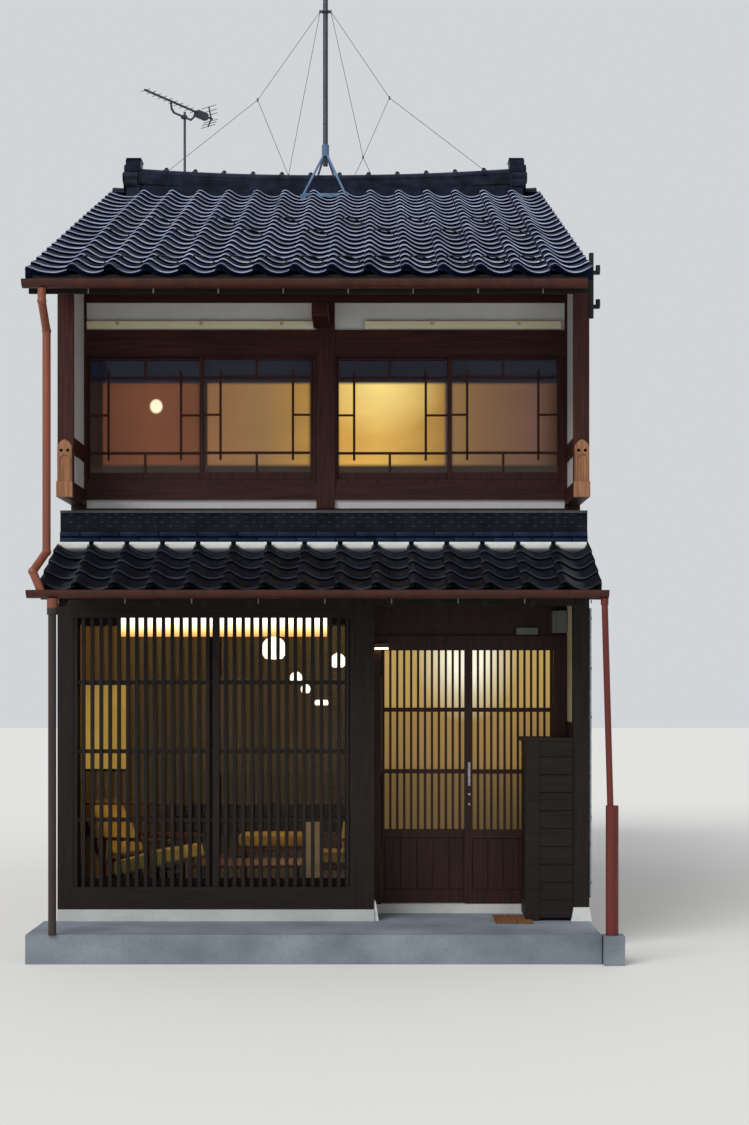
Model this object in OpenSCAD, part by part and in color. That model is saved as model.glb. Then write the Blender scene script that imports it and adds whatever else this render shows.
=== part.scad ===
// Two-storey timber townhouse of the kyo-machiya kind, one house of a row.
// Millimetres. The origin is on the ground under the middle of the ridge,
// the street front faces -Y and +Z is up.

/* [House] */
// Width over the two party walls
house_w = 4060; // [3600:10:5200]
// Depth from the street front to the back wall
house_d = 7300; // [6000:10:9000]
// Thickness of the party walls and the back wall
wall_t = 100; // [80:5:160]
// How far the upper front wall stands behind the street front
upper_setback = 620; // [450:10:800]

/* [Base] */
// Height of the concrete base above the ground
base_h = 210; // [120:5:320]
// How far the base runs out in front of the house
apron_d = 760; // [500:10:900]
// How far the base runs out past the left party wall
apron_left = 100; // [0:5:150]
// Height of the granite sill under the lattice
sill_stone_h = 88; // [50:1:150]
// Thickness of the ground floor on the base
floor_t = 71; // [50:1:120]

/* [Ground storey] */
// Width of the corner posts
corner_post_w = 120; // [90:1:150]
// Depth of all front posts and beams
post_d = 120; // [100:1:150]
// Left face of the post beside the entrance
entry_post_x = 203; // [0:1:300]
// Width of the post beside the entrance
entry_post_w = 183; // [100:1:220]
// Height of the timber sill under the lattice
sill_beam_h = 171; // [100:1:220]
// Height of the beam over the lattice
lintel_h = 174; // [120:1:240]
// Height of the tapered stone under the right post
post_stone_h = 105; // [60:1:160]

/* [Lattice] */
// Width of a lattice bar
bar_w = 24; // [15:1:36]
// Depth of a lattice bar
bar_d = 30; // [20:1:45]
// Distance aimed at between the middles of two bars
bar_pitch = 67; // [50:1:100]
// Height of the rails that cross the bars
lattice_rail_h = 30; // [18:1:45]
// Width of the middle upright of the lattice
mullion_w = 53; // [30:1:90]

/* [Entrance] */
// How far the door stands behind the street front
porch_d = 480; // [350:5:600]
// Height of the doorway above the floor
door_h = 2006; // [1800:1:2100]
// Height of the grooved beam over the doorway
door_head_h = 110; // [80:1:160]
// Height of the boarded panel over this beam
transom_h = 303; // [150:1:400]
// Width of the left door jamb
jamb_left_w = 56; // [40:1:120]
// Width of the right door jamb
jamb_right_w = 105; // [40:1:160]
// Thickness of a door leaf
leaf_t = 33; // [27:1:45]
// Width of the door stiles
stile_w = 47; // [35:1:70]
// Height of the bottom rail of a door leaf
door_foot_h = 103; // [70:1:150]
// Height of the boarded panel of a door leaf
door_panel_h = 410; // [250:1:600]
// Height of the rail over this panel
door_rail_h = 68; // [40:1:100]
// Height of the top rail of a door leaf
door_top_h = 70; // [40:1:100]
// Gap between the two leaves and round each leaf
door_gap = 6; // [5:0.5:10]
// Lattice bars in each leaf
door_bars = 11; // [5:1:15]
// Width of a door bar
door_bar_w = 19; // [12:1:28]
// Width of the boarded screen beside the right post
screen_w = 368; // [200:1:450]
// Height of the boarded screen above the base
screen_h = 1370; // [900:10:1600]

/* [Upper storey] */
// Width of the middle post
middle_post_w = 147; // [100:1:200]
// Width of the sleeve walls at both ends of the front
sleeve_w = 122; // [90:1:160]
// Height of the window frames' foot above the top of the sloping ledge
window_foot_h = 231; // [150:1:400]
// Height of the upper window frames
window_h = 1029; // [800:1:1100]
// Width of the outer bars of the window frames
frame_w = 45; // [30:1:70]
// Width of the sash stiles
sash_w = 34; // [25:1:60]
// Height of the beam over the windows
window_lintel_h = 199; // [120:1:240]
// Height of the plaster between this beam and the wall plate
plaster_h = 219; // [120:1:280]

/* [Roofs] */
// Rise of the main roof for each unit of run
roof_slope = 0.40; // [0.3:0.01:0.5]
// How far the main eaves reach past the street front and the back wall
eave_out = 700; // [500:10:900]
// Height of the main tile bed above the wall plate, over the front wall
roof_over_plate = 265; // [200:1:400]
// Vertical thickness of the boarded main roof
deck_t = 60; // [40:1:90]
// How far the main roof reaches out past the left party wall
roof_out_left = 90; // [0:5:150]
// How far the main roof stops short of the outside of the right party wall
roof_in_right = 75; // [0:5:100]
// Rise of the pent roof for each unit of run
pent_slope = 0.43; // [0.35:0.01:0.5]
// Height of the tile bed at the pent eave above the tops of the ground posts
pent_over_posts = -18; // [-40:1:80]
// Height of the dark band behind the ridge courses of the pent roof
pent_band_h = 177; // [100:1:260]
// Vertical thickness of the boarded pent roof
pent_t = 50; // [35:1:70]
// How far the pent roof stops short of the outside of the left party wall
pent_in_left = 0; // [0:5:80]
// How far the pent roof reaches out past the right party wall
pent_out_right = 5; // [0:5:60]
// Height of the rafters under the main eaves
rafter_h = 90; // [60:1:120]
// Rafters under each eave
rafter_count = 11; // [7:1:15]
// Outer radius of the gutters
gutter_r = 58; // [45:1:75]

/* [Ridge] */
// Width of the foot of the ridge
ridge_w = 300; // [220:5:360]
// Height of one course of ridge tiles
course_h = 36; // [25:1:50]
// Courses of ridge tiles under the crown
course_count = 3; // [2:1:6]
// How much lower the middle of the ridge lies than its ends
ridge_sag = 60; // [0:5:90]
// Thickness of the end tiles of the ridge
ridge_end_t = 165; // [120:5:200]
// How far the left end tile stands in from the side of the roof
ridge_inset_left = 100; // [60:5:180]
// How far the right end tile stands in from the side of the roof
ridge_inset_right = 105; // [60:5:180]

/* [Mast] */
// Height of the top of the roof mast above the ridge courses
mast_h = 1795; // [1200:1:2200]
// Diameter of the roof mast
mast_dia = 48; // [30:1:60]
// Place of the roof mast along the ridge
mast_x = -83; // [-500:1:500]
// Length of the boom of the aerial
boom_len = 910; // [700:10:1200]

/* [Hidden] */
$fn = 48;

front_y = -house_d / 2;
back_y = house_d / 2;
side_x = house_w / 2;
inner_x = side_x - wall_t;
post_back_y = front_y + post_d;
upper_y = front_y + upper_setback;
upper_back_y = upper_y + post_d;
door_y = front_y + porch_d;
eave_y = back_y + eave_out;

sill_beam_z = base_h + sill_stone_h;
lattice_z = sill_beam_z + sill_beam_h;
floor_z = base_h + floor_t;
door_top_z = floor_z + door_h;
panel_z = door_top_z + door_head_h;
plate_z = panel_z + transom_h;
lintel_z = plate_z - lintel_h;
lattice_h = lintel_z - lattice_z;
post_x = side_x - corner_post_w;
entry_x = entry_post_x + entry_post_w;

// Pent roof: its top end, its ridge courses, the dark band and the ledge
pent_z = plate_z + pent_over_posts;
pent_band_y = front_y + 170;
pent_band_t = 40;
pent_foot_y = pent_band_y - 65;
pent_courses_h = 130;
pent_rafter_h = 70;
band_z = pent_roof_z(pent_foot_y) + pent_courses_h;
ledge_z = band_z + pent_band_h;
ledge_front_y = pent_band_y - 55;
ledge_rise = 27;
ledge_t = 20;

upper_floor_t = 150;
upper_floor_z = ledge_z - 35 - upper_floor_t;
floor_beam_h = 220;

ledge_top_z = ledge_z + ledge_rise + ledge_t;
window_sill_z = ledge_top_z + window_foot_h;
window_top_z = window_sill_z + window_h;
plaster_z = window_top_z + window_lintel_h;
wall_plate_z = plaster_z + plaster_h;
wall_plate_h = 190;
bay_in_x = middle_post_w / 2;
bay_out_x = side_x - sleeve_w;

// Main roof
eave_z = wall_plate_z + wall_plate_h + roof_over_plate - roof_slope * (eave_y + upper_y);
roof_x = [-side_x - roof_out_left, side_x - roof_in_right];
ridge_x = (roof_x[0] + ridge_inset_left + roof_x[1] - ridge_inset_right) / 2;
ridge_len = roof_x[1] - roof_x[0] - ridge_inset_left - ridge_inset_right - 2 * ridge_end_t;
ridge_base_z = roof_z(0) + 20;
ridge_top_z = ridge_base_z + course_count * course_h;
crown_h = 42;
crown_w = 140;

wood_red = "#5a2a22";
wood_dark = "#2b2320";
wood_tan = "#a0704f";
plaster_white = "#d9d7d2";
tile_black = "#15171c";
copper_brown = "#8a4a30";
granite = "#b9b9b6";
concrete = "#7f858c";
steel_blue = "#5d7391";
steel_grey = "#a9adb0";

// Height of the tile bed of the main roof at a depth
function roof_z(y) = eave_z + roof_slope * (eave_y - abs(y));

// Height of the tile bed of the pent roof at a depth
function pent_roof_z(y) = pent_z + pent_slope * (y + eave_y);

// Height of the underside of the sloping ledge over the pent roof at a depth
function ledge_under(y) = ledge_z + ledge_rise * (y - ledge_front_y) / (upper_y - ledge_front_y);

// A box between two corners, given as ranges along each axis
module block(x, y, z) {
    translate([x[0], y[0], z[0]])
        cube([x[1] - x[0], y[1] - y[0], z[1] - z[0]]);
}

// A profile drawn in Y and Z, drawn out along X
module along_x(x0, x1) {
    translate([x0, 0, 0])
        rotate([90, 0, 90])
            linear_extrude(height = x1 - x0)
                children();
}

// A profile drawn in X and Z, drawn out along Y
module along_y(y0, y1) {
    translate([0, y1, 0])
        rotate([90, 0, 0])
            linear_extrude(height = y1 - y0)
                children();
}

// A round bar from one point to another
module rod(from, to, dia) {
    run = to - from;
    length = norm(run);
    turn = atan2(run[1], run[0]);
    tilt = acos(run[2] / length);
    translate(from)
        rotate([0, tilt, turn])
            cylinder(d = dia, h = length);
}

// How much wider than its pipe an elbow is
elbow_out = 8;

// A round pipe along a list of points, with ball elbows
module pipe(points, dia) {
    for (i = [0:len(points) - 2])
        rod(points[i], points[i + 1], dia);
    if (len(points) > 2)
        for (i = [1:len(points) - 2])
            translate(points[i])
                sphere(d = dia + elbow_out);
}

// A rectangular frame in X and Z, its bar widths given left, right, bottom and top
module frame_xz(x, y, z, left, right, bottom, top) {
    difference() {
        block(x, y, z);
        block([x[0] + left, x[1] - right], [y[0] - 1, y[1] + 1], [z[0] + bottom, z[1] - top]);
    }
}

// Base

module foundation() {
    color(concrete)
        linear_extrude(height = base_h)
            polygon([
                [-side_x - apron_left, front_y - apron_d],
                [side_x, front_y - apron_d],
                [side_x, back_y],
                [-side_x, back_y],
                [-side_x, front_y],
                [-side_x - apron_left, front_y]
            ]);
}

module granite_sill() {
    color(granite)
        block([-side_x, entry_x], [front_y - 12, post_back_y], [base_h, sill_beam_z]);
}

module door_threshold() {
    color(granite)
        block([entry_x, inner_x - lining_t], surround_y, [base_h, floor_z]);
}

// A stone block whose sides lean in
module tapered_stone(x, y, z, lean) {
    along_y(y[0], y[1])
        polygon([[x[0] - lean, z[0]], [x[1] + lean, z[0]], [x[1], z[1]], [x[0], z[1]]]);
}

module post_stones() {
    color("#dcdcd8") {
        tapered_stone(
            [post_x, side_x],
            [front_y - 14, post_back_y],
            [base_h, base_h + post_stone_h], 18
        );
        along_y(front_y + 10, post_back_y)
            polygon([
                [entry_x, base_h], [entry_x + 36, base_h],
                [entry_x + 12, sill_beam_z + 60], [entry_x, sill_beam_z + 60]
            ]);
    }
}

// Ground storey

module ground_posts() {
    color(wood_dark) {
        block([-side_x, -post_x], [front_y, post_back_y], [sill_beam_z, plate_z]);
        block([entry_post_x, entry_x], [front_y, post_back_y], [sill_beam_z, plate_z]);
        block([post_x, side_x], [front_y, post_back_y], [base_h + post_stone_h, plate_z]);
    }
}

module sill_beam() {
    color(wood_dark)
        block([-post_x, entry_post_x], [front_y, post_back_y], [sill_beam_z, lattice_z]);
}

porch_head_h = 80;

module head_beam() {
    color(wood_dark) {
        block([-post_x, entry_post_x], [front_y, post_back_y], [lintel_z, plate_z]);
        block([entry_x, post_x], [front_y, post_back_y], [plate_z - porch_head_h, plate_z]);
        along_x(-side_x, side_x)
            polygon([
                [front_y, plate_z], [post_back_y, plate_z],
                [post_back_y, pent_roof_z(post_back_y) - pent_t - pent_rafter_h],
                [front_y, pent_roof_z(front_y) - pent_t - pent_rafter_h]
            ]);
    }
}

// Upright bars spread evenly between two posts
module bars(x0, x1, y, z, count, width) {
    step = (x1 - x0 + width) / (count + 1);
    for (i = [1:count])
        block([x0 + i * step - width, x0 + i * step], y, z);
}

// The middle upright of the lattice stands a little right of the middle
lattice_mid = (entry_post_x - post_x) / 2 + 21;
lattice_y = [front_y + 6, front_y + 6 + bar_d];

module front_lattice() {
    left_end = lattice_mid - mullion_w / 2;
    right_start = lattice_mid + mullion_w / 2;
    y = lattice_y;
    rail_y = [lattice_y[0] + bar_d / 2, lattice_y[1] + 12];
    color(wood_dark) {
        bars(-post_x, left_end, y, [lattice_z, lintel_z], round((left_end + post_x) / bar_pitch) - 1, bar_w);
        bars(
            right_start, entry_post_x, y, [lattice_z, lintel_z],
            round((entry_post_x - right_start) / bar_pitch) - 1, bar_w
        );
        block([left_end, right_start], [y[0] - 4, y[1] + 24], [lattice_z, lintel_z]);
        for (i = [1:3]) {
            z = lattice_z + i * lattice_h / 4;
            block([-post_x, entry_post_x], rail_y, [z - lattice_rail_h / 2, z + lattice_rail_h / 2]);
        }
    }
}

glazing_y = [lattice_y[1] + 32, lattice_y[1] + 72];
glass_t = 5;
glazing_w = 40;
glazing_foot = 60;
glazing_head = 50;

module front_window_frame() {
    mid = (entry_post_x - post_x) / 2;
    color(wood_dark) {
        for (x = [[-post_x, mid + glazing_w / 2], [mid - glazing_w / 2, entry_post_x]])
            frame_xz(
                x, glazing_y, [lattice_z, lintel_z],
                glazing_w, glazing_w, glazing_foot, glazing_head
            );
    }
}

module front_window_glass() {
    mid = (entry_post_x - post_x) / 2;
    y = [glazing_y[0] + 15, glazing_y[0] + 15 + glass_t];
    z = [lattice_z + glazing_foot, lintel_z - glazing_head];
    color([0.85, 0.9, 0.9, 0.35]) {
        block([-post_x + glazing_w, mid - glazing_w / 2], y, z);
        block([mid + glazing_w / 2, entry_post_x - glazing_w], y, z);
    }
}

// Party walls, with the outline of the house below the roof boards
module party_wall(x0) {
    color("#8e8a84")
        along_x(x0, x0 + wall_t)
            polygon([
                [post_back_y, base_h],
                [post_back_y, pent_roof_z(post_back_y) - pent_t],
                [pent_band_y, pent_roof_z(pent_band_y) - pent_t],
                [pent_band_y, ledge_under(pent_band_y)],
                [upper_back_y, ledge_under(upper_y)],
                [upper_back_y, roof_z(upper_back_y) - deck_t],
                [0, roof_z(0) - deck_t],
                [back_y, roof_z(back_y) - deck_t],
                [back_y, base_h]
            ]);
}

module party_wall_left() {
    party_wall(-side_x);
}

module party_wall_right() {
    party_wall(inner_x);
}

// Back wall

back_sill_z = 950;
back_window_h = 1150;

// The two window bays of a storey, as ranges along X
bays = [[-bay_out_x, -bay_in_x], [bay_in_x, bay_out_x]];

module back_wall_ground() {
    color(plaster_white)
        difference() {
            block([-inner_x, inner_x], [back_y - wall_t, back_y], [base_h, upper_floor_z + upper_floor_t]);
            for (bay = bays)
                block(
                    bay, [back_y - wall_t - 1, back_y + 1],
                    [back_sill_z, back_sill_z + back_window_h]
                );
        }
}

module back_wall_upper() {
    y0 = back_y - wall_t;
    color(plaster_white)
        difference() {
            along_x(-inner_x, inner_x)
                polygon([
                    [y0, upper_floor_z + upper_floor_t],
                    [back_y, upper_floor_z + upper_floor_t],
                    [back_y, roof_z(back_y) - deck_t],
                    [y0, roof_z(y0) - deck_t]
                ]);
            for (bay = bays)
                block(bay, [y0 - 1, back_y + 1], [window_sill_z, window_top_z]);
        }
}

back_frame_y = [back_y - 80, back_y + 12];

module back_window_frames() {
    color(wood_red)
        for (bay = bays) {
            mid = (bay[0] + bay[1]) / 2;
            for (z = [[back_sill_z, back_sill_z + back_window_h], [window_sill_z, window_top_z]]) {
                frame_xz(bay, back_frame_y, z, frame_w, frame_w, frame_w, frame_w);
                block(
                    [mid - sash_w / 2, mid + sash_w / 2], [back_y - 50, back_y - 10],
                    [z[0] + frame_w, z[1] - frame_w]
                );
            }
        }
}

module back_window_glass() {
    color([0.85, 0.9, 0.9, 0.35])
        for (bay = bays) {
            mid = (bay[0] + bay[1]) / 2;
            for (z = [[back_sill_z, back_sill_z + back_window_h], [window_sill_z, window_top_z]])
                for (x = [[bay[0] + frame_w, mid - sash_w / 2], [mid + sash_w / 2, bay[1] - frame_w]])
                    block(x, [back_y - 32, back_y - 32 + glass_t], [z[0] + frame_w, z[1] - frame_w]);
        }
}

// Floors

surround_y = [door_y - 20, door_y + 95];
room_y = surround_y[1];
porch_wall_t = 86;
bay_wall_x = entry_x - porch_wall_t;

module ground_floor() {
    color("#6e675f") {
        block([-inner_x, inner_x], [room_y, back_y - wall_t], [base_h, floor_z]);
        block([-inner_x, bay_wall_x], [post_back_y, room_y], [base_h, floor_z]);
    }
}

module upper_floor() {
    color("#7a5a41")
        block(
            [-inner_x, inner_x], [pent_band_y, back_y - wall_t],
            [upper_floor_z, upper_floor_z + upper_floor_t]
        );
}

module floor_beams() {
    count = 4;
    run = back_y - wall_t - room_y;
    color(wood_dark)
        for (i = [1:count]) {
            y = room_y + i * run / (count + 1);
            block([-inner_x, inner_x], [y - 60, y + 60], [upper_floor_z - floor_beam_h, upper_floor_z]);
        }
}

// Entrance

lining_t = inner_x - post_x;

module porch_walls() {
    color(plaster_white) {
        block([bay_wall_x, entry_x], [post_back_y, room_y], [base_h, plate_z]);
        block([inner_x - lining_t, inner_x], [post_back_y, room_y], [base_h, plate_z]);
    }
}

module porch_ceiling() {
    color(wood_dark)
        block([bay_wall_x, inner_x], [post_back_y, room_y], [plate_z, plate_z + 20]);
}

// How far the leaves reach into the grooves of the head, and how deep these are
leaf_in_groove = 10;
groove_d = 20;

door_x0 = entry_x + jamb_left_w;
door_x1 = inner_x - lining_t - jamb_right_w;
leaf_w = (door_x1 - door_x0 - 2 * door_gap + stile_w) / 2;
leaf_z = [floor_z + door_gap, door_top_z + leaf_in_groove];
outer_leaf_y = [door_y, door_y + leaf_t];
inner_leaf_y = [outer_leaf_y[1] + 2 * door_gap, outer_leaf_y[1] + 2 * door_gap + leaf_t];

transom_y = [door_y + 20, door_y + 70];

module door_surround() {
    color(wood_red)
        difference() {
            union() {
                block([entry_x, door_x0], surround_y, [floor_z, door_top_z]);
                block([door_x1, inner_x - lining_t], surround_y, [floor_z, door_top_z]);
                block([entry_x, inner_x - lining_t], surround_y, [door_top_z, panel_z]);
                block([entry_x, inner_x - lining_t], transom_y, [panel_z, plate_z]);
            }
            for (leaf_y = [outer_leaf_y, inner_leaf_y])
                block(
                    [door_x0, door_x1],
                    [leaf_y[0] - door_gap + 1, leaf_y[1] + door_gap - 1],
                    [door_top_z - 1, door_top_z + groove_d]
                );
        }
}

// Heights of a leaf's boarded panel and of its lattice, and the lattice's
// depth behind the face of the leaf
leaf_panel_z = [leaf_z[0] + door_foot_h, leaf_z[0] + door_foot_h + door_panel_h];
leaf_bars_z = [leaf_panel_z[1] + door_rail_h, leaf_z[1] - door_top_h];
leaf_glass_in = 22;

// Where the two thin rails cross the lattice, as shares of its height
leaf_rails = [0.355, 0.707];

module door_leaf(x0, y) {
    x = [x0 + stile_w, x0 + leaf_w - stile_w];
    // Stiles and rails
    frame_xz([x0, x0 + leaf_w], y, leaf_z, stile_w, stile_w, door_foot_h, door_top_h);
    block(x, y, [leaf_panel_z[1], leaf_bars_z[0]]);
    // Boards of the lower panel
    block(x, [y[0] + leaf_glass_in - 10, y[0] + leaf_glass_in], leaf_panel_z);
    // Lattice
    bars(x[0], x[1], [y[0] + 3, y[0] + leaf_glass_in - 4], leaf_bars_z, door_bars, door_bar_w);
    for (share = leaf_rails) {
        z = leaf_bars_z[0] + share * (leaf_bars_z[1] - leaf_bars_z[0]);
        block(x, [y[0] + 8, y[0] + leaf_glass_in], [z - 11, z + 11]);
    }
}

// The glass of a leaf sits behind its bars
module door_glass(x0, y) {
    block(
        [x0 + stile_w, x0 + leaf_w - stile_w],
        [y[0] + leaf_glass_in, y[0] + leaf_glass_in + glass_t], leaf_bars_z
    );
}

left_leaf_x = door_x0 + door_gap;
right_leaf_x = door_x1 - door_gap - leaf_w;

module door_leaf_left() {
    color(wood_red)
        door_leaf(left_leaf_x, inner_leaf_y);
}

module door_glass_left() {
    color([1, 0.9, 0.65, 0.8])
        door_glass(left_leaf_x, inner_leaf_y);
}

module door_leaf_right() {
    color(wood_red)
        door_leaf(right_leaf_x, outer_leaf_y);
}

module door_glass_right() {
    color([1, 0.9, 0.65, 0.8])
        door_glass(right_leaf_x, outer_leaf_y);
}

// A low boarded screen that closes the corner beside the right post
module porch_screen() {
    x0 = post_x - screen_w;
    top = base_h + screen_h;
    board_t = 18;
    end_post = [107, 56];
    board_in = 14;
    foot_gap = 20;
    lid = [24, 28];
    y0 = front_y + 4;
    back = surround_y[0] - 40;
    color(wood_dark) {
        block([x0, x0 + end_post[0]], [y0, y0 + end_post[1]], [base_h, top]);
        difference() {
            block(
                [x0 + end_post[0], post_x], [front_y + board_in, front_y + board_in + board_t],
                [base_h + foot_gap, top]
            );
            post_stones();
        }
        block([x0 + 8, x0 + 8 + board_t], [y0 + end_post[1], back], [base_h + foot_gap, top]);
        block([x0 - lid[0], inner_x - lining_t], [y0, back + 20], [top, top + lid[1]]);
    }
}

// Timber rail and beads round the plaster of the two linings
module porch_trim() {
    rail_z = base_h + screen_h + 20;
    rail_h = 125;
    bead = 22;
    color(wood_dark) {
        block([post_x - 12, post_x], [post_back_y, surround_y[0]], [rail_z + lining_gap, rail_z + rail_h]);
        for (x = [[entry_x, entry_x + bead], [post_x - bead, post_x]])
            block(x, [post_back_y, surround_y[0]], [plate_z - bead - 40, plate_z]);
    }
}

lining_gap = 10;

module porch_lamp() {
    size = [106, 42, 46];
    x0 = entry_x + 6;
    color("#e8e2d0")
        block(
            [x0, x0 + size[0]], [surround_y[0] - size[1], surround_y[0]],
            [door_top_z + 4, door_top_z + 4 + size[2]]
        );
}

// A plain box on the panel over the door
module meter_box() {
    size = [115, 82, 174];
    x1 = post_x - 5;
    color("#8f9390")
        block(
            [x1 - size[0], x1], [transom_y[0] - size[1], transom_y[0]],
            [panel_z + 24, panel_z + 24 + size[2]]
        );
}

// Pent roof

module pent_roof() {
    color(tile_black)
        along_x(-side_x + pent_in_left, side_x + pent_out_right)
            polygon([
                [-eave_y, pent_z],
                [pent_band_y, pent_roof_z(pent_band_y)],
                [pent_band_y, pent_roof_z(pent_band_y) - pent_t],
                [-eave_y, pent_z - pent_t]
            ]);
}

module pent_rafters() {
    y0 = -eave_y + 50;
    span = 2 * post_x - 60;
    drop = pent_t + pent_rafter_h;
    color(wood_dark)
        for (i = [0:rafter_count])
            translate([-span / 2 + i * span / rafter_count, 0, 0])
                along_x(-22, 22)
                    polygon([
                        [y0, pent_roof_z(y0) - pent_t],
                        [post_back_y, pent_roof_z(post_back_y) - pent_t],
                        [post_back_y, pent_roof_z(post_back_y) - drop],
                        [y0, pent_roof_z(y0) - drop]
                    ]);
}

// The lower half of a round section
module half_round(r) {
    difference() {
        circle(r = r);
        translate([-r - 1, 0])
            square([2 * r + 2, r + 1]);
    }
}

// A half-round gutter with closed ends, its rim at a height
module gutter(x, y, z) {
    wall = 4;
    color(copper_brown) {
        along_x(x[0], x[1])
            translate([y, z])
                difference() {
                    half_round(gutter_r);
                    circle(r = gutter_r - wall);
                }
        for (end = [x[0], x[1] - wall])
            along_x(end, end + wall)
                translate([y, z])
                    half_round(gutter_r);
    }
}

gutter_y = -eave_y - gutter_r - 3;
pent_gutter_z = pent_z + 15;
upper_gutter_z = eave_z - 54;
gutter_out = [87, 48];
upper_gutter_out = 30;

module pent_gutter() {
    gutter([-side_x - gutter_out[0], side_x + gutter_out[1]], gutter_y, pent_gutter_z);
}

module pent_ridge() {
    color(tile_black)
        along_x(-side_x, side_x)
            polygon([
                [pent_foot_y, pent_roof_z(pent_foot_y)],
                [pent_band_y, pent_roof_z(pent_band_y)],
                [pent_band_y, ledge_under(pent_band_y)],
                [pent_band_y - pent_band_t, ledge_under(pent_band_y - pent_band_t)],
                [pent_band_y - pent_band_t, band_z],
                [pent_foot_y, band_z]
            ]);
}

module pent_flashing() {
    y0 = ledge_front_y;
    color("#3b3f45")
        along_x(-side_x, side_x)
            polygon([
                [y0, ledge_under(y0)], [upper_y, ledge_under(upper_y)],
                [upper_y, ledge_under(upper_y) + ledge_t], [y0, ledge_under(y0) + ledge_t]
            ]);
}

// Upper storey

window_foot_beam_h = 124;
ledge_beam_h = 36;
// The arm that reaches out from the middle post under the eave
eave_arm_w = 125;
eave_arm_h = 101;
eave_arm_l = 500;
eave_arm_x = -32;

module upper_posts() {
    foot = ledge_under(upper_y);
    outline = [
        [upper_y, foot], [upper_back_y, foot],
        [upper_back_y, roof_z(upper_back_y) - deck_t], [upper_y, roof_z(upper_y) - deck_t]
    ];
    color(wood_red) {
        along_x(-side_x, -bay_out_x)
            polygon(outline);
        along_x(bay_out_x, side_x)
            polygon(outline);
        block([-bay_in_x, bay_in_x], [upper_y - 10, upper_back_y], [ledge_top_z + ledge_beam_h, wall_plate_z]);
    }
}

module upper_beams() {
    foot = ledge_top_z;
    color(wood_red) {
        for (x = bays) {
            block(x, [upper_y, upper_back_y], [window_sill_z - window_foot_beam_h, window_sill_z]);
            block(x, [upper_y, upper_back_y], [window_top_z, plaster_z]);
        }
        block([-bay_out_x, bay_out_x], [upper_y, upper_back_y], [foot, foot + ledge_beam_h]);
        block(
            [-bay_out_x, bay_out_x], [upper_y - 6, upper_back_y],
            [wall_plate_z, wall_plate_z + wall_plate_h]
        );
        along_x(eave_arm_x - eave_arm_w / 2, eave_arm_x + eave_arm_w / 2)
            polygon([
                [upper_y - 10, plaster_z + 14], [upper_y - 10, plaster_z + 14 + eave_arm_h],
                [upper_y - eave_arm_l, plaster_z + 14 + eave_arm_h],
                [upper_y - eave_arm_l, plaster_z + 30], [upper_y - eave_arm_l + 16, plaster_z + 14]
            ]);
    }
}

module upper_plaster() {
    foot = ledge_top_z + ledge_beam_h;
    y = [upper_y + 25, upper_back_y - 25];
    top = wall_plate_z + wall_plate_h;
    color(plaster_white) {
        for (x = bays) {
            block(x, y, [foot, window_sill_z - window_foot_beam_h]);
            block(x, y, [plaster_z, wall_plate_z]);
        }
        along_x(-bay_out_x, bay_out_x)
            polygon([
                [y[0], top], [y[1], top],
                [y[1], roof_z(y[1]) - deck_t], [y[0], roof_z(y[0]) - deck_t]
            ]);
    }
}

// Window frames and their two sashes, each in a track of its own
frame_foot = 40;
frame_head = 12;
sash_foot = 56;
sash_head = 20;
sash_t = 26;
window_y = [upper_y + 14, upper_y + 104];
sash_z = [window_sill_z + frame_foot, window_top_z - frame_head];
outer_sash_y = window_y[0] + 16;
inner_sash_y = outer_sash_y + sash_t + 6;

// The two sashes of a bay: where they start along X, and their depth
function sash_len(bay) = (bay[1] - bay[0] - 2 * frame_w + sash_w) / 2;
function sash_list(bay) = [
    [bay[0] + frame_w, inner_sash_y],
    [bay[1] - frame_w - sash_len(bay), outer_sash_y]
];

module upper_window_frames() {
    color(wood_red)
        for (bay = bays)
            frame_xz(
                bay, window_y, [window_sill_z, window_top_z],
                frame_w, frame_w, frame_foot, frame_head
            );
}

module upper_sashes() {
    color(wood_red)
        for (bay = bays)
            for (sash = sash_list(bay))
                frame_xz(
                    [sash[0], sash[0] + sash_len(bay)], [sash[1], sash[1] + sash_t],
                    sash_z, sash_w, sash_w, sash_foot, sash_head
                );
}

module upper_glass() {
    color([0.85, 0.9, 0.9, 0.35])
        for (bay = bays)
            for (sash = sash_list(bay))
                block(
                    [sash[0] + sash_w, sash[0] + sash_len(bay) - sash_w],
                    [sash[1] + 10, sash[1] + 10 + glass_t],
                    [sash_z[0] + sash_foot, sash_z[1] - sash_head]
                );
}

module upper_screens() {
    color("#f0e2bd")
        for (bay = bays) {
            half = (bay[1] - bay[0]) / 2;
            for (i = [0:1])
                block(
                    [bay[0] + i * half + 4, bay[0] + (i + 1) * half - 4],
                    [upper_back_y, upper_back_y + 14],
                    [window_sill_z - 10, window_top_z + 10]
                );
        }
}

// Sleeve walls at both ends of the upper front

sleeve_z = ledge_top_z + 61;
sleeve_foot_h = 118;
sleeve_rail_h = 130;
sleeve_rail_z = sleeve_z + 341;
sleeve_board_t = 40;

// A YZ outline of a sleeve wall between two heights, under the roof boards
module sleeve_outline(y0, y1) {
    polygon([
        [y0, sleeve_z], [y1, sleeve_z],
        [y1, roof_z(y1) - deck_t], [y0, roof_z(y0) - deck_t]
    ]);
}

module sleeve_frame(x0, x1) {
    along_x(x0, x1)
        sleeve_outline(front_y, front_y + sleeve_board_t);
    y = [front_y + sleeve_board_t, upper_y];
    block([x0, x1], y, [sleeve_z, sleeve_z + sleeve_foot_h]);
    block([x0 + 10, x1 - 10], y, [sleeve_rail_z, sleeve_rail_z + sleeve_rail_h]);
}

module sleeve_frames() {
    color(wood_red) {
        sleeve_frame(-side_x, -bay_out_x);
        sleeve_frame(bay_out_x, side_x);
    }
}

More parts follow.
